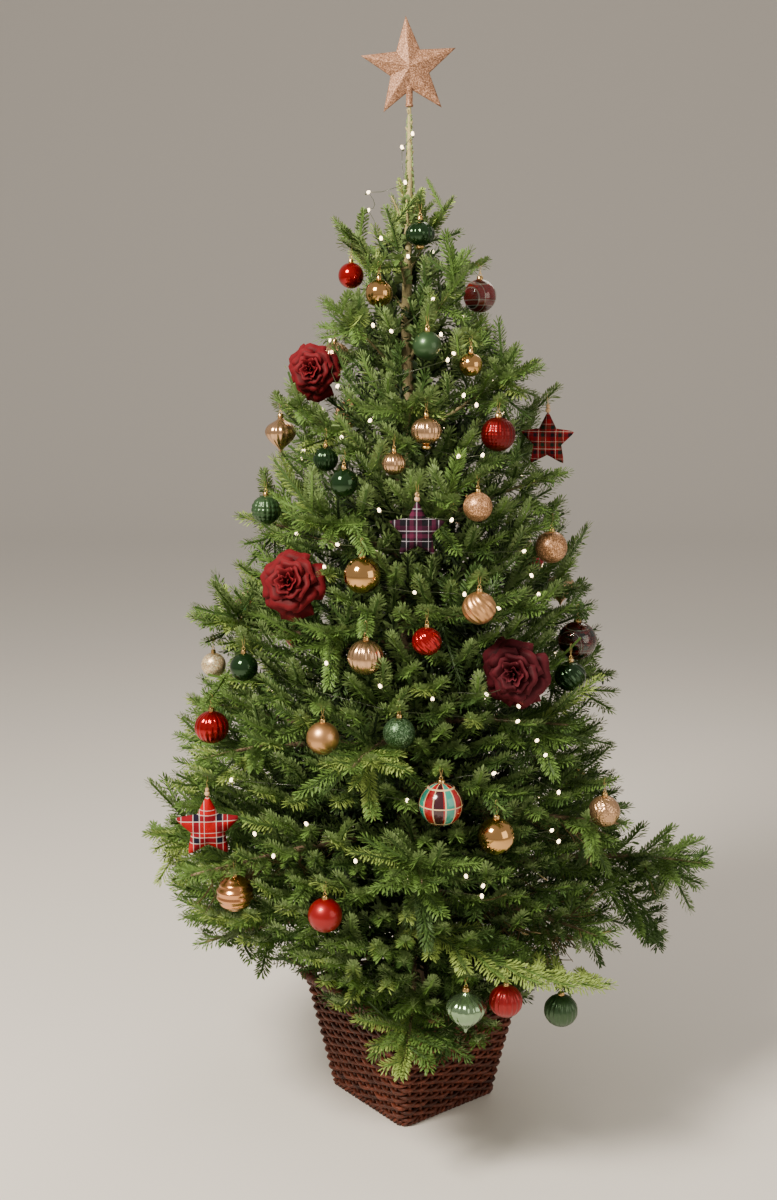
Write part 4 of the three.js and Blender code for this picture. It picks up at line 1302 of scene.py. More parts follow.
def cleaned(piece):
    """Turns every face of a piece outward."""
    mesh = bmesh.new()
    mesh.from_mesh(piece.data)
    bmesh.ops.recalc_face_normals(mesh, faces=mesh.faces)
    mesh.to_mesh(piece.data)
    mesh.free()
    return piece


class FIR_OT_grow_boughs(bpy.types.Operator):
    """Grows each bough as one tapering limb, from the trunk to the tip of its mass"""

    bl_idname = "fir.grow_boughs"
    bl_label = "Grow Boughs"

    def execute(self, context):
        draws = np.random.default_rng(11)
        steps, sides = 22, 9
        shape = []
        for bough in crown_plan()[0]:
            first = BOUGH.foot_share * float(trunk_radius(bough.foot[2]))
            distance = np.linspace(first, bough.reach - BOUGH.tip_gap, steps)
            swelling = 1 + BOUGH.swelling * np.exp(-distance / BOUGH.swell_length)
            radii = limb_radius(bough, distance) * swelling
            rings = rings_around(bough_point(bough, distance), radii, sides)
            rings += draws.normal(0, 1, rings.shape) * (BOUGH.grain * radii)[:, None, None]
            shape.append((rings.reshape(-1, 3), skin_faces(steps, sides)))
        names = [name for name in NODES if name.startswith("bough_")]
        bark = bpy.data.materials["young_fir_bark"]
        settle(joined("boughs", shape, bark, origin=STAND), "bough_bark", *names)
        return {"FINISHED"}


class BasketSettings(bpy.types.PropertyGroup):
    """Sizes and colours of the basket, its soil and the star."""

    rod_scale: bpy.props.FloatProperty(
        name="Rod scale", description="Thickness of the willow rods over their usual one", default=1.0,
        min=0.1)
    willow: bpy.props.FloatVectorProperty(
        name="Willow", description="Colour of the dyed willow", subtype="COLOR", default=linear("55291b"))
    soil: bpy.props.FloatVectorProperty(
        name="Soil", description="Colour of the damp soil", subtype="COLOR", default=linear("2e241c"))
    star: bpy.props.FloatVectorProperty(
        name="Star", description="Colour of the star's glitter", subtype="COLOR", default=linear("94684a"))


def dyed_willow(colour):
    """Willow rods stained reddish brown under a thin lacquer, each rod in its own tone."""
    material, tree, shader = new_material("dyed_willow", colour, 0.42, Specular_IOR_Level=0.3)
    tone = add_node(tree, "ShaderNodeAttribute", attribute_name="tone")
    streaks = add_node(tree, "ShaderNodeMath", operation="ADD", links={
        0: surface_grain(tree, 90, detail=5.0), 1: tone.outputs["Fac"]})
    colour = np.array(colour)
    add_node(tree, "ShaderNodeValToRGB", links={"Fac": streaks.outputs["Value"]},
             feeds={"Color": shader.inputs["Base Color"]},
             stops=[(0.42, colour * 0.32), (0.75, colour), (1.0, np.minimum(colour * 1.9, 1))])
    add_node(tree, "ShaderNodeBump", {"Distance": 0.0006}, {"Height": surface_grain(tree, 700, detail=2.0)},
             {"Normal": shader.inputs["Normal"]})
    return material


def potting_soil(colour):
    """Damp dark potting soil with peat fibres."""
    material, tree, shader = new_material("potting_soil", colour, 0.95)
    add_node(tree, "ShaderNodeValToRGB", links={"Fac": surface_grain(tree, 160, detail=6.0)},
             feeds={"Color": shader.inputs["Base Color"]},
             stops=[(0.35, np.array(colour) * 0.4), (0.62, colour), (0.8, linear("5a4636"))])
    add_node(tree, "ShaderNodeBump", {"Distance": 0.003}, {"Height": surface_grain(tree, 420, detail=5.0)},
             {"Normal": shader.inputs["Normal"]})
    return material


def glitter(name, colour, flake=0.0016, metallic=0.6, roughness=0.36):
    """Glitter flakes of a size in metres glued on plastic, each facet at its own slant and brightness."""
    material, tree, shader = new_material(name, colour, roughness, Metallic=metallic)
    place = add_node(tree, "ShaderNodeTexCoord")
    cells = add_node(tree, "ShaderNodeTexVoronoi", {"Scale": 1 / flake}, {"Vector": place.outputs["Object"]})
    facets = add_node(tree, "ShaderNodeSeparateColor", links={"Color": cells.outputs["Color"]})
    colour = np.array(colour)
    add_node(tree, "ShaderNodeValToRGB", links={"Fac": facets.outputs["Red"]},
             feeds={"Color": shader.inputs["Base Color"]},
             stops=[(0.05, colour * 0.45), (0.6, colour), (0.95, np.minimum(colour * 1.8 + 0.12, 1))])
    add_node(tree, "ShaderNodeBump", {"Distance": flake * 0.35}, {"Height": facets.outputs["Green"]},
             {"Normal": shader.inputs["Normal"]})
    return material


def twisted(points, outward, radius, twists, strands, rod_radius, tones):
    """Strands twisted round a closed path, as paths for rods."""
    run = np.arange(len(points)) / len(points)
    paths = []
    for strand in range(strands):
        turn = 2 * np.pi * (run * twists + strand / strands)
        offset = np.cos(turn)[:, None] * outward + np.sin(turn)[:, None] * UP
        paths.append((points + radius * offset, rod_radius, tones[strand], True))
    return paths


def floor_paths(half, draws):
    """The rods of the basket's floor and the runners across them, by half the floor's width."""
    turn = math.radians(BASKET.turn)
    along = np.array([math.cos(turn), math.sin(turn), 0])
    across = np.array([-math.sin(turn), math.cos(turn), 0])
    paths = []
    for place in np.arange(-half, half + 1, FLOOR.pitch):
        reach = half if abs(place) < half - FLOOR.near_corner else half - FLOOR.shorter
        points = place * across + np.outer(np.linspace(-reach, reach, 26), along) + FLOOR.height * UP
        paths.append((points, FLOOR.radius, draws.uniform(0, 0.4), False))
    for place in np.linspace(-FLOOR.runner_span, FLOOR.runner_span, FLOOR.runners) * half:
        points = place * along + np.outer(np.linspace(-half, half, 8), across) + FLOOR.runner_height * UP
        paths.append((points, FLOOR.runner_radius, draws.uniform(0, 0.4), False))
    return paths


class FIR_OT_weave_basket(bpy.types.Operator):
    """Weaves the basket: stakes, courses of rods over and under them, border, foot and floor"""

    bl_idname = "fir.weave_basket"
    bl_label = "Weave Basket"

    def execute(self, context):
        settings = context.scene.fir_basket
        draws = np.random.default_rng(3)
        outer = WEAVE.rod_radius + WEAVE.wave
        paths = []
        for course in range(WEAVE.courses):
            z = WEAVE.lowest + WEAVE.pitch * course
            count = WEAVE.stakes * 8
            points, outward = basket_path(basket_side(z), count, outer)
            run = np.arange(count) / count
            phase = math.pi * (run * WEAVE.stakes + course)
            points += outward * (WEAVE.wave * np.cos(phase))[:, None]
            waves = np.array([np.sin(2 * math.pi * k * run + k) / k for k in range(1, 6)])
            points[:, 2] = z + WEAVE.sway * (draws.normal(0, 1, 5) @ waves)
            thick = 1 + WEAVE.unevenness * draws.normal(0, 1)
            thick = thick + WEAVE.unevenness * np.sin(2 * math.pi * run + course)
            tone = draws.uniform(0.0, 0.42) + 0.05 * np.sin(6 * math.pi * run + course)
            paths.append((points, WEAVE.rod_radius * thick, tone, True))
        heights = np.linspace(*WEAVE.stake_heights, 16)
        for stake in range(WEAVE.stakes):
            points = [basket_path(basket_side(z), WEAVE.stakes, outer)[0][stake] + z * UP for z in heights]
            paths.append((np.array(points), WEAVE.rod_radius * 0.95, draws.uniform(0, 0.3), False))

        rope = WEAVE.strand_offset + WEAVE.strand_radius
        side = BASKET.rim_side + 2 * BASKET.border_relief
        points, outward = basket_path(side, WEAVE.border_twists * 12, rope)
        points += (BASKET.height - rope) * UP
        paths += twisted(points, outward, WEAVE.strand_offset, WEAVE.border_twists, WEAVE.strands,
                         WEAVE.strand_radius, draws.uniform(0.1, 0.45, WEAVE.strands))
        points, outward = basket_path(BASKET.base_side, WEAVE.foot_twists * 10, 2 * WEAVE.foot_radius)
        points += 2 * WEAVE.foot_radius * UP
        paths += twisted(points, outward, WEAVE.foot_radius, WEAVE.foot_twists, 2, WEAVE.foot_radius,
                         [0.15, 0.3])

        paths += floor_paths(BASKET.base_side / 2 - 2 * outer, draws)
        willow = dyed_willow(settings.willow[:])
        settle(rods_piece("woven_basket", paths, willow, settings.rod_scale, sides=6), "willow", "basket")
        return {"FINISHED"}


def crumbs_tree():
    """Geometry nodes that scatter lumps over the faces that point up."""
    tree, given = start_tree("soil_crumbs", "Soil", Ground="Geometry", Density="Float", Radius="Float",
                             Seed="Int", Material="Material")
    normal = add_node(tree, "GeometryNodeInputNormal")
    slope = add_node(tree, "ShaderNodeSeparateXYZ", links={"Vector": normal.outputs["Normal"]})
    upward = add_node(tree, "ShaderNodeMath", {1: 0.6}, {0: slope.outputs["Z"]}, operation="GREATER_THAN")
    spots = add_node(tree, "GeometryNodeDistributePointsOnFaces", links={
        "Mesh": given["Ground"], "Selection": upward.outputs["Value"], "Density": given["Density"],
        "Seed": given["Seed"]})
    lump = add_node(tree, "GeometryNodeMeshIcoSphere", {"Subdivisions": 1}, {"Radius": given["Radius"]})
    turns, sizes = (
        add_node(tree, "FunctionNodeRandomValue", {"Min": low, "Max": high}, {"Seed": given["Seed"]},
                 data_type="FLOAT_VECTOR").outputs["Value"]
        for low, high in (((0, 0, 0), (6.3, 6.3, 6.3)), ((0.4, 0.4, 0.4), (1.3, 1.1, 0.8))))
    lumps = add_node(tree, "GeometryNodeInstanceOnPoints", links={
        "Points": spots.outputs["Points"], "Instance": lump.outputs["Mesh"],
        "Rotation": turns, "Scale": sizes})
    both = add_node(tree, "GeometryNodeJoinGeometry", links={"Geometry": lumps.outputs["Instances"]})
    tree.links.new(given["Ground"], both.inputs["Geometry"])
    return end_tree(tree, "Soil", both.outputs["Geometry"], given["Material"])


class FIR_OT_fill_soil(bpy.types.Operator):
    """Fills the basket with soil, mounded round the trunk's foot and strewn with crumbs"""

    bl_idname = "fir.fill_soil"
    bl_label = "Fill Soil"

    def execute(self, context):
        count = 96
        edge = BASKET.height - SOIL.edge_below_rim
        rings = []
        for z in np.linspace(BASKET.floor + LUMPS.above_floor, edge, 8):
            rings.append(basket_path(basket_side(z), count, WEAVE.lining)[0] + z * UP)
        last = rings[-1] * [1, 1, 0]
        for share in np.linspace(0.95, 0.02, 18):
            ring = last * share
            lumps = [noise.fractal(Vector(point) / LUMPS.size, 1.0, 2.0, 3) for point in ring]
            rise = edge + SOIL.mound_rise * (1 - share**2) * 0.8 + LUMPS.height * np.array(lumps)
            rings.append(ring + rise[:, None] * UP)
        points, faces = np.array(rings).reshape(-1, 3), skin_faces(len(rings), count)
        material = potting_soil(context.scene.fir_basket.soil[:])
        piece = joined("soil_mound", [(points, faces)], material)
        grown(piece, crumbs_tree(), Density=float(LUMPS.crumbs), Radius=LUMPS.crumb_radius * MM, Seed=5,
              Material=material)
        settle(piece, "soil", "soil")
        return {"FINISHED"}


def puffed_star(radii, turn, shares, puff):
    """A star in the plane of X and Z whose faces swell from its edge to its middle, as corners and faces."""
    angles = 2 * math.pi * np.arange(len(radii)) / len(radii) + turn
    around = np.stack([np.cos(angles), 0 * angles, np.sin(angles)], axis=-1) * radii[:, None]
    rings = [around * share + [0, depth, 0]
             for share, depth in [*zip(shares, -puff), *zip(shares[::-1], puff[::-1])]]
    return np.array(rings).reshape(-1, 3), skin_faces(len(rings), len(radii))


def star_radii(count, points, outer, inner):
    """How far a star's outline lies from its middle, evenly round it from a point on, and the angle there."""
    step = math.pi / points
    angles = 2 * math.pi * np.arange(count) / count
    away = np.abs((angles + step) % (2 * step) - step)
    run = inner * np.array([math.cos(step), math.sin(step)]) - [outer, 0]
    return outer * run[1] / (np.cos(away) * run[1] - np.sin(away) * run[0]), away


class FIR_OT_raise_star(bpy.types.Operator):
    """Raises the puffed glitter star on its sleeve over the leader"""

    bl_idname = "fir.raise_star"
    bl_label = "Raise Star"

    def execute(self, context):
        radii, _ = star_radii(120, STAR.points, STAR.outer_radius, STAR.inner_radius)
        shares = 1 - np.linspace(0.98, 0, 15)
        puff = mix(STAR.half_depth, STAR.edge_half_depth, shares**1.25)
        points, faces = puffed_star(radii, math.pi / 2 + math.radians(STAR.tilt), shares, puff)
        low, top = STAR.sleeve_bottom, STAR.centre_height - STAR.inner_radius * 0.8
        bore, radius = STAR.sleeve_bore, STAR.sleeve_radius
        neck, bead = radius - 0.9, radius + 0.6
        sleeve, sleeve_faces = lathe([
            (bore, top - 6), (bore, low + 0.6), (bore + 0.5, low), (radius - 0.4, low), (radius, low + 0.8),
            (radius, low + 4), (neck, low + 5), (neck, top - 8), (bead, top - 7), (bead, top - 3),
            (neck, top - 2), (neck, top)], 28)
        axis = trunk_axis(TRUNK.top) * [1, 1, 0]
        shape = [(points + STAR.centre_height * UP, faces), (sleeve + axis, sleeve_faces)]
        foil = glitter("star_glitter", context.scene.fir_basket.star[:], 0.0013, 0.3, 0.55)
        settle(cleaned(joined("glitter_star", shape, foil, origin=STAND)), "star", "star_topper")
        return {"FINISHED"}


def part(points, faces, slot=0, pattern=None):
    """A part of a decoration, whose pattern lies where the part was before it is turned and moved."""
    return (points, faces, slot, points if pattern is None else pattern)


def ball(radius, sides=48, rings=26, relief=None, height=1.0, middle=0, slot=0):
    """A ball about its middle with relief, its height as a share of its width."""
    rise = np.radians(np.linspace(-89, 89, rings))
    profile = np.stack([radius * np.cos(rise), radius * height * np.sin(rise)], axis=-1)
    points, faces = lathe(profile, sides, relief)
    return part(points + middle, faces, slot)


def ridges(count, depth, twist=0.0, sharp=0.5):
    """Relief of upright or twisted ridges that fade at both poles."""
    def relief(angles, shares):
        wave = np.abs(np.cos((angles * count + twist * shares * 2 * np.pi) / 2)) ** sharp
        return 1 + depth * (wave - 0.6) * np.sin(np.pi * np.clip(shares, 0, 1)) ** 0.5
    return relief


def quilt(columns, rows, depth):
    """Relief of cushions in rows, parted by grooves both ways."""
    def relief(angles, shares):
        cushions = np.abs(np.sin(angles * columns / 2) * np.sin(shares * rows * np.pi)) ** 0.5
        return 1 + depth * (cushions - 0.6) * np.sin(np.pi * shares) ** 0.5
    return relief


def bands(count, depth):
    """Relief of level rings."""
    return lambda angles, shares: 1 + depth * np.cos(2 * np.pi * count * shares) + 0 * angles


# The profile of an onion bauble, from its tip up, over its radius.
ONION = np.array([
    (0.03, -1.38), (0.07, -1.3), (0.12, -1.16), (0.28, -0.98), (0.56, -0.74), (0.82, -0.44), (0.97, -0.15),
    (1, 0.05), (0.95, 0.25), (0.82, 0.44), (0.6, 0.6), (0.38, 0.72), (0.22, 0.84), (0.17, 0.95), (0.05, 1),
])


def bauble_parts(kind, radius):
    """A bauble about its middle, hanging along Z, with its cap in the second material."""
    shapes = {
        "ribbed": lambda: [ball(radius, 72, 24, ridges(18, 0.1))],
        "swirl": lambda: [ball(radius, 88, 30, ridges(11, 0.13, 5.0, 0.9))],
        "quilted": lambda: [ball(radius, 96, 56, quilt(16, 9, 0.1))],
        "sequin": lambda: [ball(radius, 96, 60, quilt(24, 15, 0.06))],
        "banded": lambda: [ball(radius, 48, 90, bands(7, 0.035))],
        "lantern": lambda: [ball(radius, 72, 24, ridges(14, 0.12), height=0.86),
                            ball(radius * 0.3, 20, 8, height=0.7, middle=(0, 0, -0.88 * radius), slot=1)],
        "drop": lambda: [ball(radius, 72, 24, ridges(18, 0.1), height=0.94),
                         ball(radius * 0.34, 24, 10, height=0.6, middle=(0, 0, -1.1 * radius), slot=1)],
        "onion": lambda: [part(*lathe(ONION * radius, 72, ridges(16, 0.12)))],
        "clear": lambda: clear_parts(radius),
    }
    parts = shapes.get(kind, lambda: [ball(radius)])()
    cap = min(max(0.19 * radius, 4.6), 7)
    foot = radius * HANGING.cap_foot
    profile = [(cap * 0.9, foot), (cap * 1.06, foot + 0.6), (cap, foot + 2), (cap * 0.94, foot + 6.4),
               (cap * 0.8, foot + 7.4), (0.4, foot + 7.9)]
    points, faces = lathe(profile, 24, lambda angles, shares: 1 + 0.05 * np.cos(12 * angles) * (1 - shares))
    return parts + [part(points, faces, 1)]


def clear_parts(radius):
    """A thin clear shell round a ball of cloth."""
    outer, inner = ball(radius), ball(radius - 0.9)
    core = ball(radius * 0.72, middle=(0, 0, -0.14 * radius), slot=2)
    return [outer, part(inner[0], inner[1][:, ::-1]), core]


def star_parts(radius, depth):
    """A stuffed cloth star in the plane of X and Z, with two wooden beads over it."""
    radii, away = star_radii(80, 5, 1.0, 0.5)
    radii = np.minimum(radii, 0.93 + 0.02 * np.cos(away * 30)) * radius
    shares = 1 - np.linspace(0.97, 0, 12)
    puff = depth * np.sqrt(1 - shares**2.2) + 0.6
    beads = [ball(size, 16, 10, middle=(0, 0, radius * 0.93 + rise), slot=1)
             for size, rise in ((5.2, 5), (4.2, 13))]
    return [part(*puffed_star(radii, math.pi / 2, shares, puff)), *beads]


def rose_parts(radius, draws):
    """An open silk rose that faces -Y, each petal a thin closed sheet wrapped round the middle."""
    petals, cells = ROSE.petals, ROSE.cells
    across, out = np.meshgrid(np.linspace(-1, 1, cells), np.linspace(0, 1, cells), indexing="ij")
    parts = []
    for petal in range(petals):
        age = petal / (petals - 1)
        turn = math.radians(GROWTH.turn_step * petal)
        opening = math.radians(mix(*ROSE.openings, age**0.9))
        length = radius * mix(*ROSE.lengths, age) * (1 + draws.uniform(-ROSE.unevenness, ROSE.unevenness))
        width = mix(*ROSE.widths, age)
        shape = np.sqrt(np.clip(np.sin(np.pi * (0.12 + 0.73 * out)), 0, 1))
        lean = opening * (0.55 + 0.6 * out)
        away = radius * ROSE.foot + length * out * np.sin(lean)
        rise = length * out * np.cos(lean) - radius * ROSE.sink * age
        rise -= radius * ROSE.cup * across**2 * (1 + age)
        ripple = radius * ROSE.ripple * np.sin(5 * across + 2 * petal) * out**3
        angle = turn + across * width * shape
        away += ripple + radius * ROSE.lip * out**5 * age
        front = np.stack([away * np.cos(angle), -(rise + ripple), away * np.sin(angle)], axis=-1)
        inward = [0.7 * np.cos(angle), np.full_like(angle, -0.5), 0.7 * np.sin(angle)]
        back = front - np.stack(inward, axis=-1)
        back += 0.4 * (back - front) * out[..., None]
        points = np.concatenate([front.reshape(-1, 3), back.reshape(-1, 3)])
        places = np.stack([out, across, np.full_like(out, petal / petals)], axis=-1).reshape(-1, 3) / MM
        parts.append(part(points, sheet_faces(cells), 0, np.concatenate([places, places])))
    return parts


def sheet_faces(cells):
    """Triangles of a closed sheet: a square grid of corners, the same grid behind it, and its edges."""
    index = np.arange(cells * cells).reshape(cells, cells)
    a, b, c, d = index[:-1, :-1], index[1:, :-1], index[1:, 1:], index[:-1, 1:]
    front = np.concatenate([np.stack([a, b, c], axis=-1), np.stack([a, c, d], axis=-1)]).reshape(-1, 3)
    rim = np.concatenate([index[:-1, 0], index[-1, :-1], index[:0:-1, -1], index[0, :0:-1]])
    following = np.roll(rim, -1)
    back = cells * cells
    sides = np.concatenate([np.stack([rim, rim + back, following + back], axis=-1),
                            np.stack([rim, following + back, following], axis=-1)])
    return np.concatenate([front, front[:, ::-1] + back, sides])


def stripes(tree, coordinate, pitch, *bars):
    """Colours in repeating bars along a coordinate, each given by where it starts and its colour."""
    run = add_node(tree, "ShaderNodeMath", {1: pitch}, {0: coordinate}, operation="DIVIDE")
    share = add_node(tree, "ShaderNodeMath", links={0: run.outputs["Value"]}, operation="FRACT")
    bands = add_node(tree, "ShaderNodeValToRGB", links={"Fac": share.outputs["Value"]},
                     stops=[(place, linear(code)) for place, code in bars])
    bands.color_ramp.interpolation = "CONSTANT"
    return bands.outputs["Color"]


def cotton_tartan(name, pitch, *bars):
    """Woven cotton with crossing bars of colour, mixed where they cross, over a fine twill."""
    material, tree, shader = new_material(name, linear(bars[0][1]), 0.85, Specular_IOR_Level=0.15)
    pattern = add_node(tree, "ShaderNodeAttribute", attribute_name="pattern").outputs["Vector"]
    place = add_node(tree, "ShaderNodeSeparateXYZ", links={"Vector": pattern})
    warp, weft = (stripes(tree, place.outputs[axis], pitch, *bars) for axis in "XZ")
    add_node(tree, "ShaderNodeMix", {"Factor": 0.5}, {"A": warp, "B": weft},
             {"Result": shader.inputs["Base Color"]}, data_type="RGBA")
    twill = add_node(tree, "ShaderNodeTexChecker", {"Scale": 900.0}, {"Vector": pattern})
    add_node(tree, "ShaderNodeBump", {"Strength": 0.5, "Distance": 0.0003}, {"Height": twill.outputs["Fac"]},
             {"Normal": shader.inputs["Normal"]})
    return material


def painted_panes(name):
    """A gloss ball painted with panes of red and sea green between pale glitter lines."""
    material, tree, shader = new_material(name, linear("94101a"), 0.15, Coat_Weight=0.5)
    pattern = add_node(tree, "ShaderNodeAttribute", attribute_name="pattern").outputs["Vector"]
    place = add_node(tree, "ShaderNodeSeparateXYZ", links={"Vector": pattern})
    angle = add_node(tree, "ShaderNodeMath", operation="ARCTAN2", links={
        0: place.outputs["Y"], 1: place.outputs["X"]})
    upright = stripes(tree, angle.outputs["Value"], math.pi / 2, (0, "d8bb8e"), (0.04, "2b8d7b"),
                      (0.3, "d8bb8e"), (0.34, "94101a"), (0.62, "d8bb8e"), (0.66, "35101a"), (0.95, "94101a"))
    level = stripes(tree, place.outputs["Z"], 0.031, (0, "ffffff"), (0.07, "000000"))
    add_node(tree, "ShaderNodeMix", {"B": (*linear("d8bb8e"), 1)}, {"Factor": level, "A": upright},
             {"Result": shader.inputs["Base Color"]}, data_type="RGBA")
    return material


def silk_petal(name, colour):
    """Velvety silk petals, with painted shade darkest where they meet and a painted highlight at the lip."""
    material, tree, shader = new_material(name, colour, 0.62, Specular_IOR_Level=0.15)
    pattern = add_node(tree, "ShaderNodeAttribute", attribute_name="pattern").outputs["Vector"]
    place = add_node(tree, "ShaderNodeSeparateXYZ", links={"Vector": pattern})
    colour = np.array(colour)
    # Painted shade at each petal's foot, the plain colour in the middle, and a painted highlight at its lip.
    add_node(tree, "ShaderNodeValToRGB", links={"Fac": place.outputs["X"]},
             feeds={"Color": shader.inputs["Base Color"]},
             stops=[(0.25, colour * 0.06), (0.84, colour), (0.99, colour * 2.6 + 0.01)])
    return material


def hammered_metal(name, colour):
    """Metallised plastic with small round dents."""
    material, tree, shader = new_material(name, colour, 0.25, Metallic=0.9)
    pattern = add_node(tree, "ShaderNodeAttribute", attribute_name="pattern").outputs["Vector"]
    dents = add_node(tree, "ShaderNodeTexVoronoi", {"Scale": 230.0}, {"Vector": pattern})
    add_node(tree, "ShaderNodeBump", {"Distance": 0.0012}, {"Height": dents.outputs["Distance"]},
             {"Normal": shader.inputs["Normal"]})
    return material


# The decorations' finishes: colour, roughness, how metallic they are, and the slot they stand in for.
COATS = {
    "red_gloss": ("a0080e", 0.12, 0.75, "bauble_gloss"),
    "red_satin": ("8e040a", 0.38, 0.5, "bauble_matte"),
    "red_sequin": ("6a0306", 0.45, 0.85, "bauble_matte"),
    "gold_gloss": ("d6a466", 0.1, 1.0, "gold"),
    "gold_satin": ("cf9a68", 0.34, 0.9, "gold"),
    "copper_gold": ("e09c68", 0.2, 1.0, "gold"),
    "champagne": ("cda37c", 0.2, 0.95, "gold"),
    "green_gloss": ("1e3b1d", 0.1, 0.7, "bauble_gloss"),
    "green_satin": ("33502f", 0.36, 0.5, "bauble_matte"),
    "sea_green": ("86a37e", 0.14, 0.9, "bauble_gloss"),
}
GLITTERS = {"champagne_glitter": "ba875c", "cream_glitter": "efcfa0", "green_glitter": "33562f"}
SILKS = {"red_silk": "480209", "wine_silk": "34030c"}
TARTANS = {
    "red_tartan": (0.034, (0, "7d0a12"), (0.22, "12101a"), (0.42, "7d0a12"), (0.5, "cfc4b4"),
                   (0.53, "7d0a12"), (0.66, "0f2a1d"), (0.86, "7d0a12"), (0.93, "cfc4b4"), (0.95, "7d0a12")),
    "plum_tartan": (0.04, (0, "3c1028"), (0.22, "0c0b12"), (0.5, "b9b2bc"), (0.53, "0c0b12"),
                    (0.66, "521a34"), (0.84, "22101e"), (0.95, "b9b2bc")),
    "bright_tartan": (0.044, (0, "b00a12"), (0.34, "e8ded8"), (0.38, "171226"), (0.62, "e8ded8"),
                      (0.66, "b00a12"), (0.83, "e8ded8"), (0.86, "b00a12")),
}


def made_once(make, name, *values, **settings):
    """The material of a name, made where there is none yet."""
    known = bpy.data.materials.get(name)
    if known is None:
        made = make(name, *values, **settings)
        known = made[0] if isinstance(made, tuple) else made
    return known


def finish_of(finish, kind):
    """The material of a finish, and the slot it stands for."""
    if finish in GLITTERS:
        return made_once(glitter, finish, linear(GLITTERS[finish])), "gold"
    if finish in SILKS:
        return made_once(silk_petal, finish, linear(SILKS[finish])), "silk_flower"
    if finish in TARTANS:
        return made_once(cotton_tartan, finish, *TARTANS[finish]), "tartan"
    if finish not in COATS:
        return made_once(painted_panes, finish), "bauble_gloss"
    code, roughness, metallic, slot = COATS[finish]
    if kind == "hammered":
        return made_once(hammered_metal, f"hammered_{finish}", linear(code)), slot
    coat = made_once(new_material, finish, linear(code), roughness, Metallic=metallic, Coat_Weight=0.3)
    return coat, slot


def turned_about(parts, place, turn, tilt):
    """Parts tipped about X, turned about Z and moved; their patterns stay as they were."""
    turned = np.array((Matrix.Rotation(turn, 3, "Z") @ Matrix.Rotation(tilt, 3, "X")))
    return [(points @ turned.T + place, faces, slot, pattern) for points, faces, slot, pattern in parts]


# How far a kind of piece is tipped, and turned from facing outward, at random and in radians.
TIPPED = {"rose": (-0.35, 0.1), "star": (-0.1, 0.1)}
TURNED = {"rose": (-0.5, 0.5), "star": (-0.25, 0.25), "panes": (-0.3, 0.3)}
ANY_TURN = (0, 6.3)


class FIR_OT_hang_decorations(bpy.types.Operator):
    """Hangs the baubles, cloth stars and roses, each its own piece, on the shoots that carry them"""

    bl_idname = "fir.hang_decorations"
    bl_label = "Hang Decorations"

    def execute(self, context):
        crown_plan()
        draws = np.random.default_rng(23)
        cap_metal = made_once(new_material, "cap_brass", linear("d9b273"), 0.25, Metallic=1.0)
        clear = made_once(new_material, "clear_plastic", linear("f2fbf6"), 0.02, IOR=1.49,
                          Transmission_Weight=1.0)
        bead = made_once(new_material, "beech_bead", linear("d9b48a"), 0.5)
        stem_tape = made_once(new_material, "floral_tape", linear("2f4a26"), 0.7)
        thread = made_once(new_material, "gold_thread", linear("d8b878"), 0.35, Metallic=0.8)
        threads, stems = [], []
        for piece in decorations():
            material, slot = finish_of(piece.finish, piece.kind)
            materials = [material, cap_metal]
            if piece.kind == "rose":
                parts, materials = rose_parts(piece.radius, draws), [material]
            elif piece.kind == "star":
                parts, materials = star_parts(piece.radius, piece.radius * 0.2), [material, bead]
            else:
                parts = bauble_parts(piece.kind, piece.radius)
            if piece.kind == "clear":
                materials, slot = [clear, cap_metal, material], "bauble_clear"
            tilt = draws.uniform(*TIPPED[piece.kind]) if piece.kind in TIPPED else 0.0
            facing = math.atan2(piece.sight[1], piece.sight[0]) + math.pi / 2
            facing += draws.uniform(*TURNED.get(piece.kind, ANY_TURN))
            parts = turned_about(parts, piece.place, facing, tilt)
            settle(cleaned(joined(piece.name, parts, *materials)), slot)
            root, tip, _ = piece.shoot
            if piece.kind == "rose":
                path = np.linspace(root + STAND, piece.place, 6)
                stems.append((path, HANGING.stem_radius, 0, False))
            else:
                threads += hook_paths(piece, unit(tip - root))
        settle(rods_piece("hooks_and_threads", threads, thread, sides=5), "gold")
        settle(rods_piece("rose_stems", stems, stem_tape, sides=6), "silk_flower")
        return {"FINISHED"}


def hook_paths(piece, along):
    """The ring on a piece's cap, and the thread from it over the shoot."""
    across = unit(np.cross(UP, along))
    top = piece.place + (piece.radius * HANGING.cap_foot + HANGING.cap_height) * UP
    turns = 2 * np.pi * np.arange(10) / 10
    ring = top + HANGING.ring_radius * (np.outer(np.cos(turns), across) + np.outer(np.sin(turns) + 0.7, UP))
    foot = top + HANGING.ring_radius * 1.2 * UP
    hook = hook_of(piece) + STAND + HANGING.loop_radius * UP
    height = (hook - foot)[2]
    turns = 2 * np.pi * np.arange(20) / 20
    rise = (1 - np.cos(turns)) / 2
    thread = foot + np.outer(HANGING.loop_radius * np.sin(turns) * rise**0.6, across)
    thread += np.outer(height * rise, UP)
    return [(ring, HANGING.ring_wire, 0, True), (thread, HANGING.thread_wire, 0, True)]


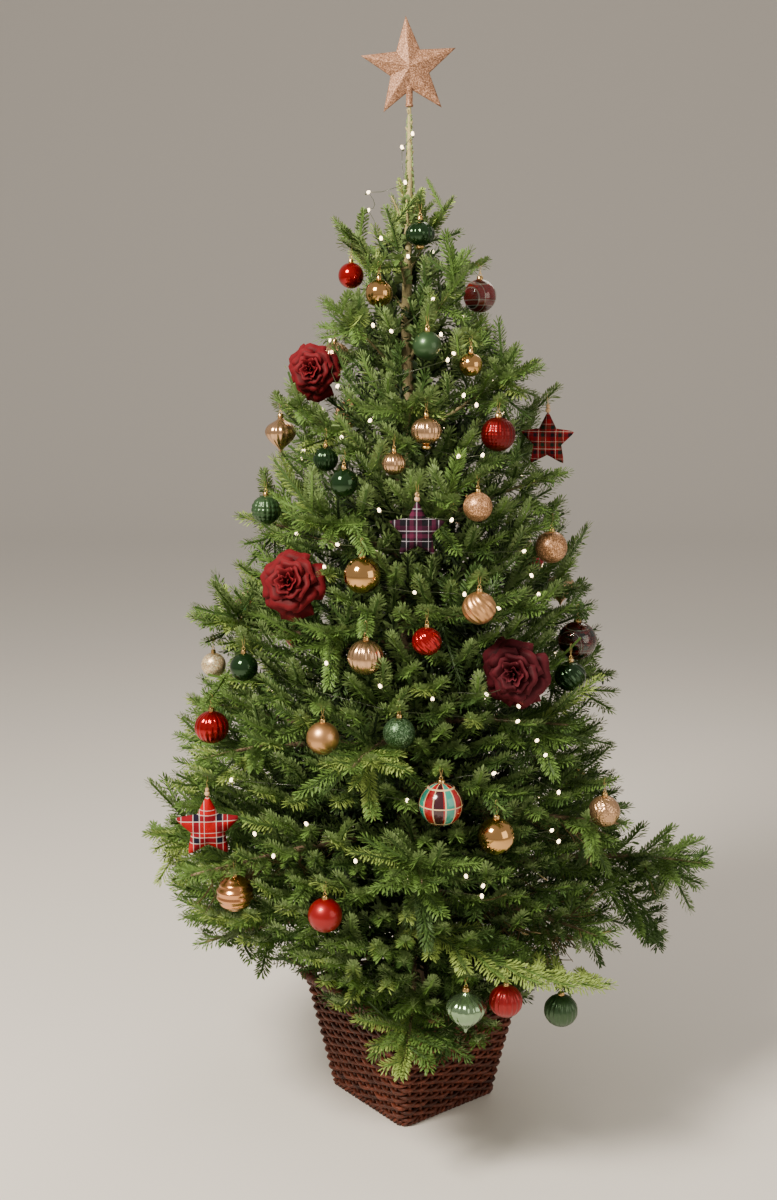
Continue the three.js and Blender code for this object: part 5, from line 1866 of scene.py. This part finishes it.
def light_places():
    """Every light, band by band down the tree: the front ones as seen, then the back ones by rule."""
    lit = np.array(LIT, float)
    top = lit[lit[:, 2] > WIRE.highest]
    order = [*top[np.argsort(-top[:, 2])]]
    bands_down = np.arange(WIRE.highest, WIRE.lowest, -WIRE.band)
    for number, high in enumerate(bands_down):
        front = lit[(lit[:, 2] <= high) & (lit[:, 2] > high - WIRE.band)]
        order += [*front[np.argsort(front[:, 0])]]
        reach = crown_reach(np.array([[0.0, 1.0, high - WIRE.band / 2]]))[0]
        count = max(2, round(math.pi * reach / WIRE.back_gap))
        for step in range(count):
            azimuth = mix(*WIRE.back_azimuths, (step + 0.5) / count)
            z = high - WIRE.band * (0.2 + 0.6 * ((step * 0.618 + number * 0.382) % 1))
            order.append(reach_at(azimuth, z, WIRE.back_share))
    return np.array(order)


def wire_path(places):
    """The wire's middle line from light to light, sunk into the crown and sagging between them."""
    path = [places[0]]
    for here, there in zip(places[:-1], places[1:]):
        ends = [(math.atan2(y, x), math.hypot(x, y)) for x, y, _ in (here - STAND, there - STAND)]
        (turn_from, reach_from), (turn_to, reach_to) = ends
        swing = (turn_to - turn_from + math.pi) % (2 * math.pi) - math.pi
        for share in (0.25, 0.5, 0.75):
            turn, reach = turn_from + swing * share, mix(reach_from, reach_to, share)
            middling = 4 * share * (1 - share)
            if reach > WIRE.sinks_from:
                reach *= mix(1, WIRE.sink, middling)
            z = mix(here, there, share)[2] - WIRE.sag * middling
            path.append(np.array([reach * math.cos(turn), reach * math.sin(turn), z]) + STAND)
        path.append(there)
    return np.array(path)


class FIR_OT_string_lights(bpy.types.Operator):
    """Strings the small warm lights on their wire down round the crown"""

    bl_idname = "fir.string_lights"
    bl_label = "String Lights"

    def execute(self, context):
        settings = context.scene.fir_lights
        places = light_places()
        wire = made_once(new_material, "clear_wire_sleeve", linear("39432a"), 0.35, Coat_Weight=0.2)
        path = wire_path(places)
        settle(rods_piece("light_wire", [(path, WIRE.radius, 0, False)], wire, sides=6), "light_wire")
        draws = np.random.default_rng(77)
        end = WIRE.lens_length / 2
        socket = [(1.4, -end - 3), (1.8, -end - 2.4), (1.8, -end + 1.5), (1.2, -end + 2)]
        parts = []
        for place in places:
            lens = ball(WIRE.lens_radius, 12, 8, height=end / WIRE.lens_radius)
            turn, tilt = draws.uniform(*ANY_TURN), draws.uniform(-1.2, 1.2)
            parts += turned_about([lens, part(*lathe(socket, 8), 1)], place, turn, tilt)
        glow = made_once(new_material, "lit_led_lens", settings.colour[:], 0.2,
                         Emission_Color=(*settings.colour, 1), Emission_Strength=settings.strength)
        settle(joined("light_lenses", parts, glow, wire), "light_lens")
        return {"FINISHED"}


class LightSettings(bpy.types.PropertyGroup):
    """Colour and strength of the small lights."""

    colour: bpy.props.FloatVectorProperty(
        name="Light colour", description="Colour the lenses shine in", subtype="COLOR",
        default=linear("ffe3b4"))
    strength: bpy.props.FloatProperty(
        name="Light strength", description="How strongly the lenses shine", default=9.0, min=0)


class StageSettings(bpy.types.PropertyGroup):
    """The plain studio round the tree."""

    floor_colour: bpy.props.FloatVectorProperty(
        name="Floor colour", description="Colour of the pale floor and backdrop", subtype="COLOR",
        default=linear("e4e0da"))
    key_power: bpy.props.FloatProperty(
        name="Key power", description="Power of the large lamp on the upper left", default=330, min=0,
        unit="POWER")
    fill_power: bpy.props.FloatProperty(
        name="Fill power", description="Power of the large lamp on the right", default=32, min=0,
        unit="POWER")


def soft_lamp(name, place, target, size, power):
    """A soft lamp that points at a target."""
    lamp = bpy.data.lights.new(name, "AREA")
    lamp.size = size
    lamp.energy = power
    lamp.color = linear("fff3e2")
    lamp_object = bpy.data.objects.new(name, lamp)
    lamp_object.location = place
    lamp_object.rotation_euler = (Vector(target) - Vector(place)).to_track_quat("-Z", "Y").to_euler()
    bpy.context.scene.collection.objects.link(lamp_object)


class FIR_OT_set_stage(bpy.types.Operator):
    """Sets the pale floor and backdrop, the soft lamps and the camera"""

    bl_idname = "fir.set_stage"
    bl_label = "Set Stage"

    def execute(self, context):
        settings = context.scene.fir_stage
        half_width, front, back, bend, top, steps = 14.0, -14.0, 14.0, 5.0, 12.0, 24
        profile = [(front, 0.0)]
        for step in range(steps + 1):
            angle = math.pi / 2 * step / steps
            profile.append((back - bend + bend * math.sin(angle), bend - bend * math.cos(angle)))
        profile.append((back, top))
        points = np.array([(x, y, z) for y, z in profile for x in (-half_width, half_width)])
        first = 2 * np.arange(len(profile) - 1)[:, None]
        floor = mesh_piece("studio_floor", points, first + np.array([0, 1, 3, 2]),
                           [new_material("painted_backdrop", settings.floor_colour[:], 0.9)[0]], smooth=True)

        middle = (0, 0, 1.0)
        soft_lamp("key_lamp", (-1.9, -2.2, 3.6), middle, 1.1, settings.key_power)
        soft_lamp("fill_lamp", (2.8, -2.2, 1.8), middle, 2.2, settings.fill_power)
        soft_lamp("back_lamp", (1.0, 2.2, 3.2), middle, 1.6, settings.fill_power)
        world = bpy.data.worlds.new("studio_world")
        world.use_nodes = True
        background = world.node_tree.nodes["Background"]
        background.inputs["Color"].default_value = (*linear("fff6ea"), 1)
        background.inputs["Strength"].default_value = 0.45
        context.scene.world = world

        lens = bpy.data.cameras.new("photo_camera")
        lens.sensor_fit = "VERTICAL"
        lens.sensor_height = 36
        lens.lens = CAMERA.focal_pixels / CAMERA.height * lens.sensor_height
        camera = bpy.data.objects.new("photo_camera", lens)
        camera.location = CAMERA.place
        camera.rotation_euler = (math.radians(90 - CAMERA.pitch), 0, 0)
        context.scene.collection.objects.link(camera)
        context.scene.camera = camera
        return {"FINISHED"}


SETTINGS = {"fir_crown": CrownSettings, "fir_basket": BasketSettings, "fir_lights": LightSettings,
            "fir_stage": StageSettings}
OPERATORS = [FIR_OT_weave_basket, FIR_OT_fill_soil, FIR_OT_raise_trunk, FIR_OT_grow_boughs,
             FIR_OT_grow_foliage, FIR_OT_raise_star, FIR_OT_hang_decorations, FIR_OT_string_lights,
             FIR_OT_set_stage]


class FIR_PT_pieces(bpy.types.Panel):
    """Lists the tree's pieces and their settings"""

    bl_label = "Dressed Fir"
    bl_idname = "FIR_PT_pieces"
    bl_space_type = "VIEW_3D"
    bl_region_type = "UI"
    bl_category = "Fir"

    def draw(self, context):
        for operator in OPERATORS:
            self.layout.operator(operator.bl_idname)
        for name, group in SETTINGS.items():
            box = self.layout.box()
            for key in group.__annotations__:
                box.prop(getattr(context.scene, name), key)


def register():
    for group in (*SETTINGS.values(), *OPERATORS, FIR_PT_pieces):
        bpy.utils.register_class(group)
    for name, group in SETTINGS.items():
        setattr(bpy.types.Scene, name, bpy.props.PointerProperty(type=group))


def unregister():
    for name in SETTINGS:
        delattr(bpy.types.Scene, name)
    for group in (FIR_PT_pieces, *reversed(OPERATORS), *SETTINGS.values()):
        bpy.utils.unregister_class(group)


def main():
    register()
    for operator in OPERATORS:
        category, name = operator.bl_idname.split(".")
        getattr(getattr(bpy.ops, category), name)()


if __name__ == "__main__":
    main()
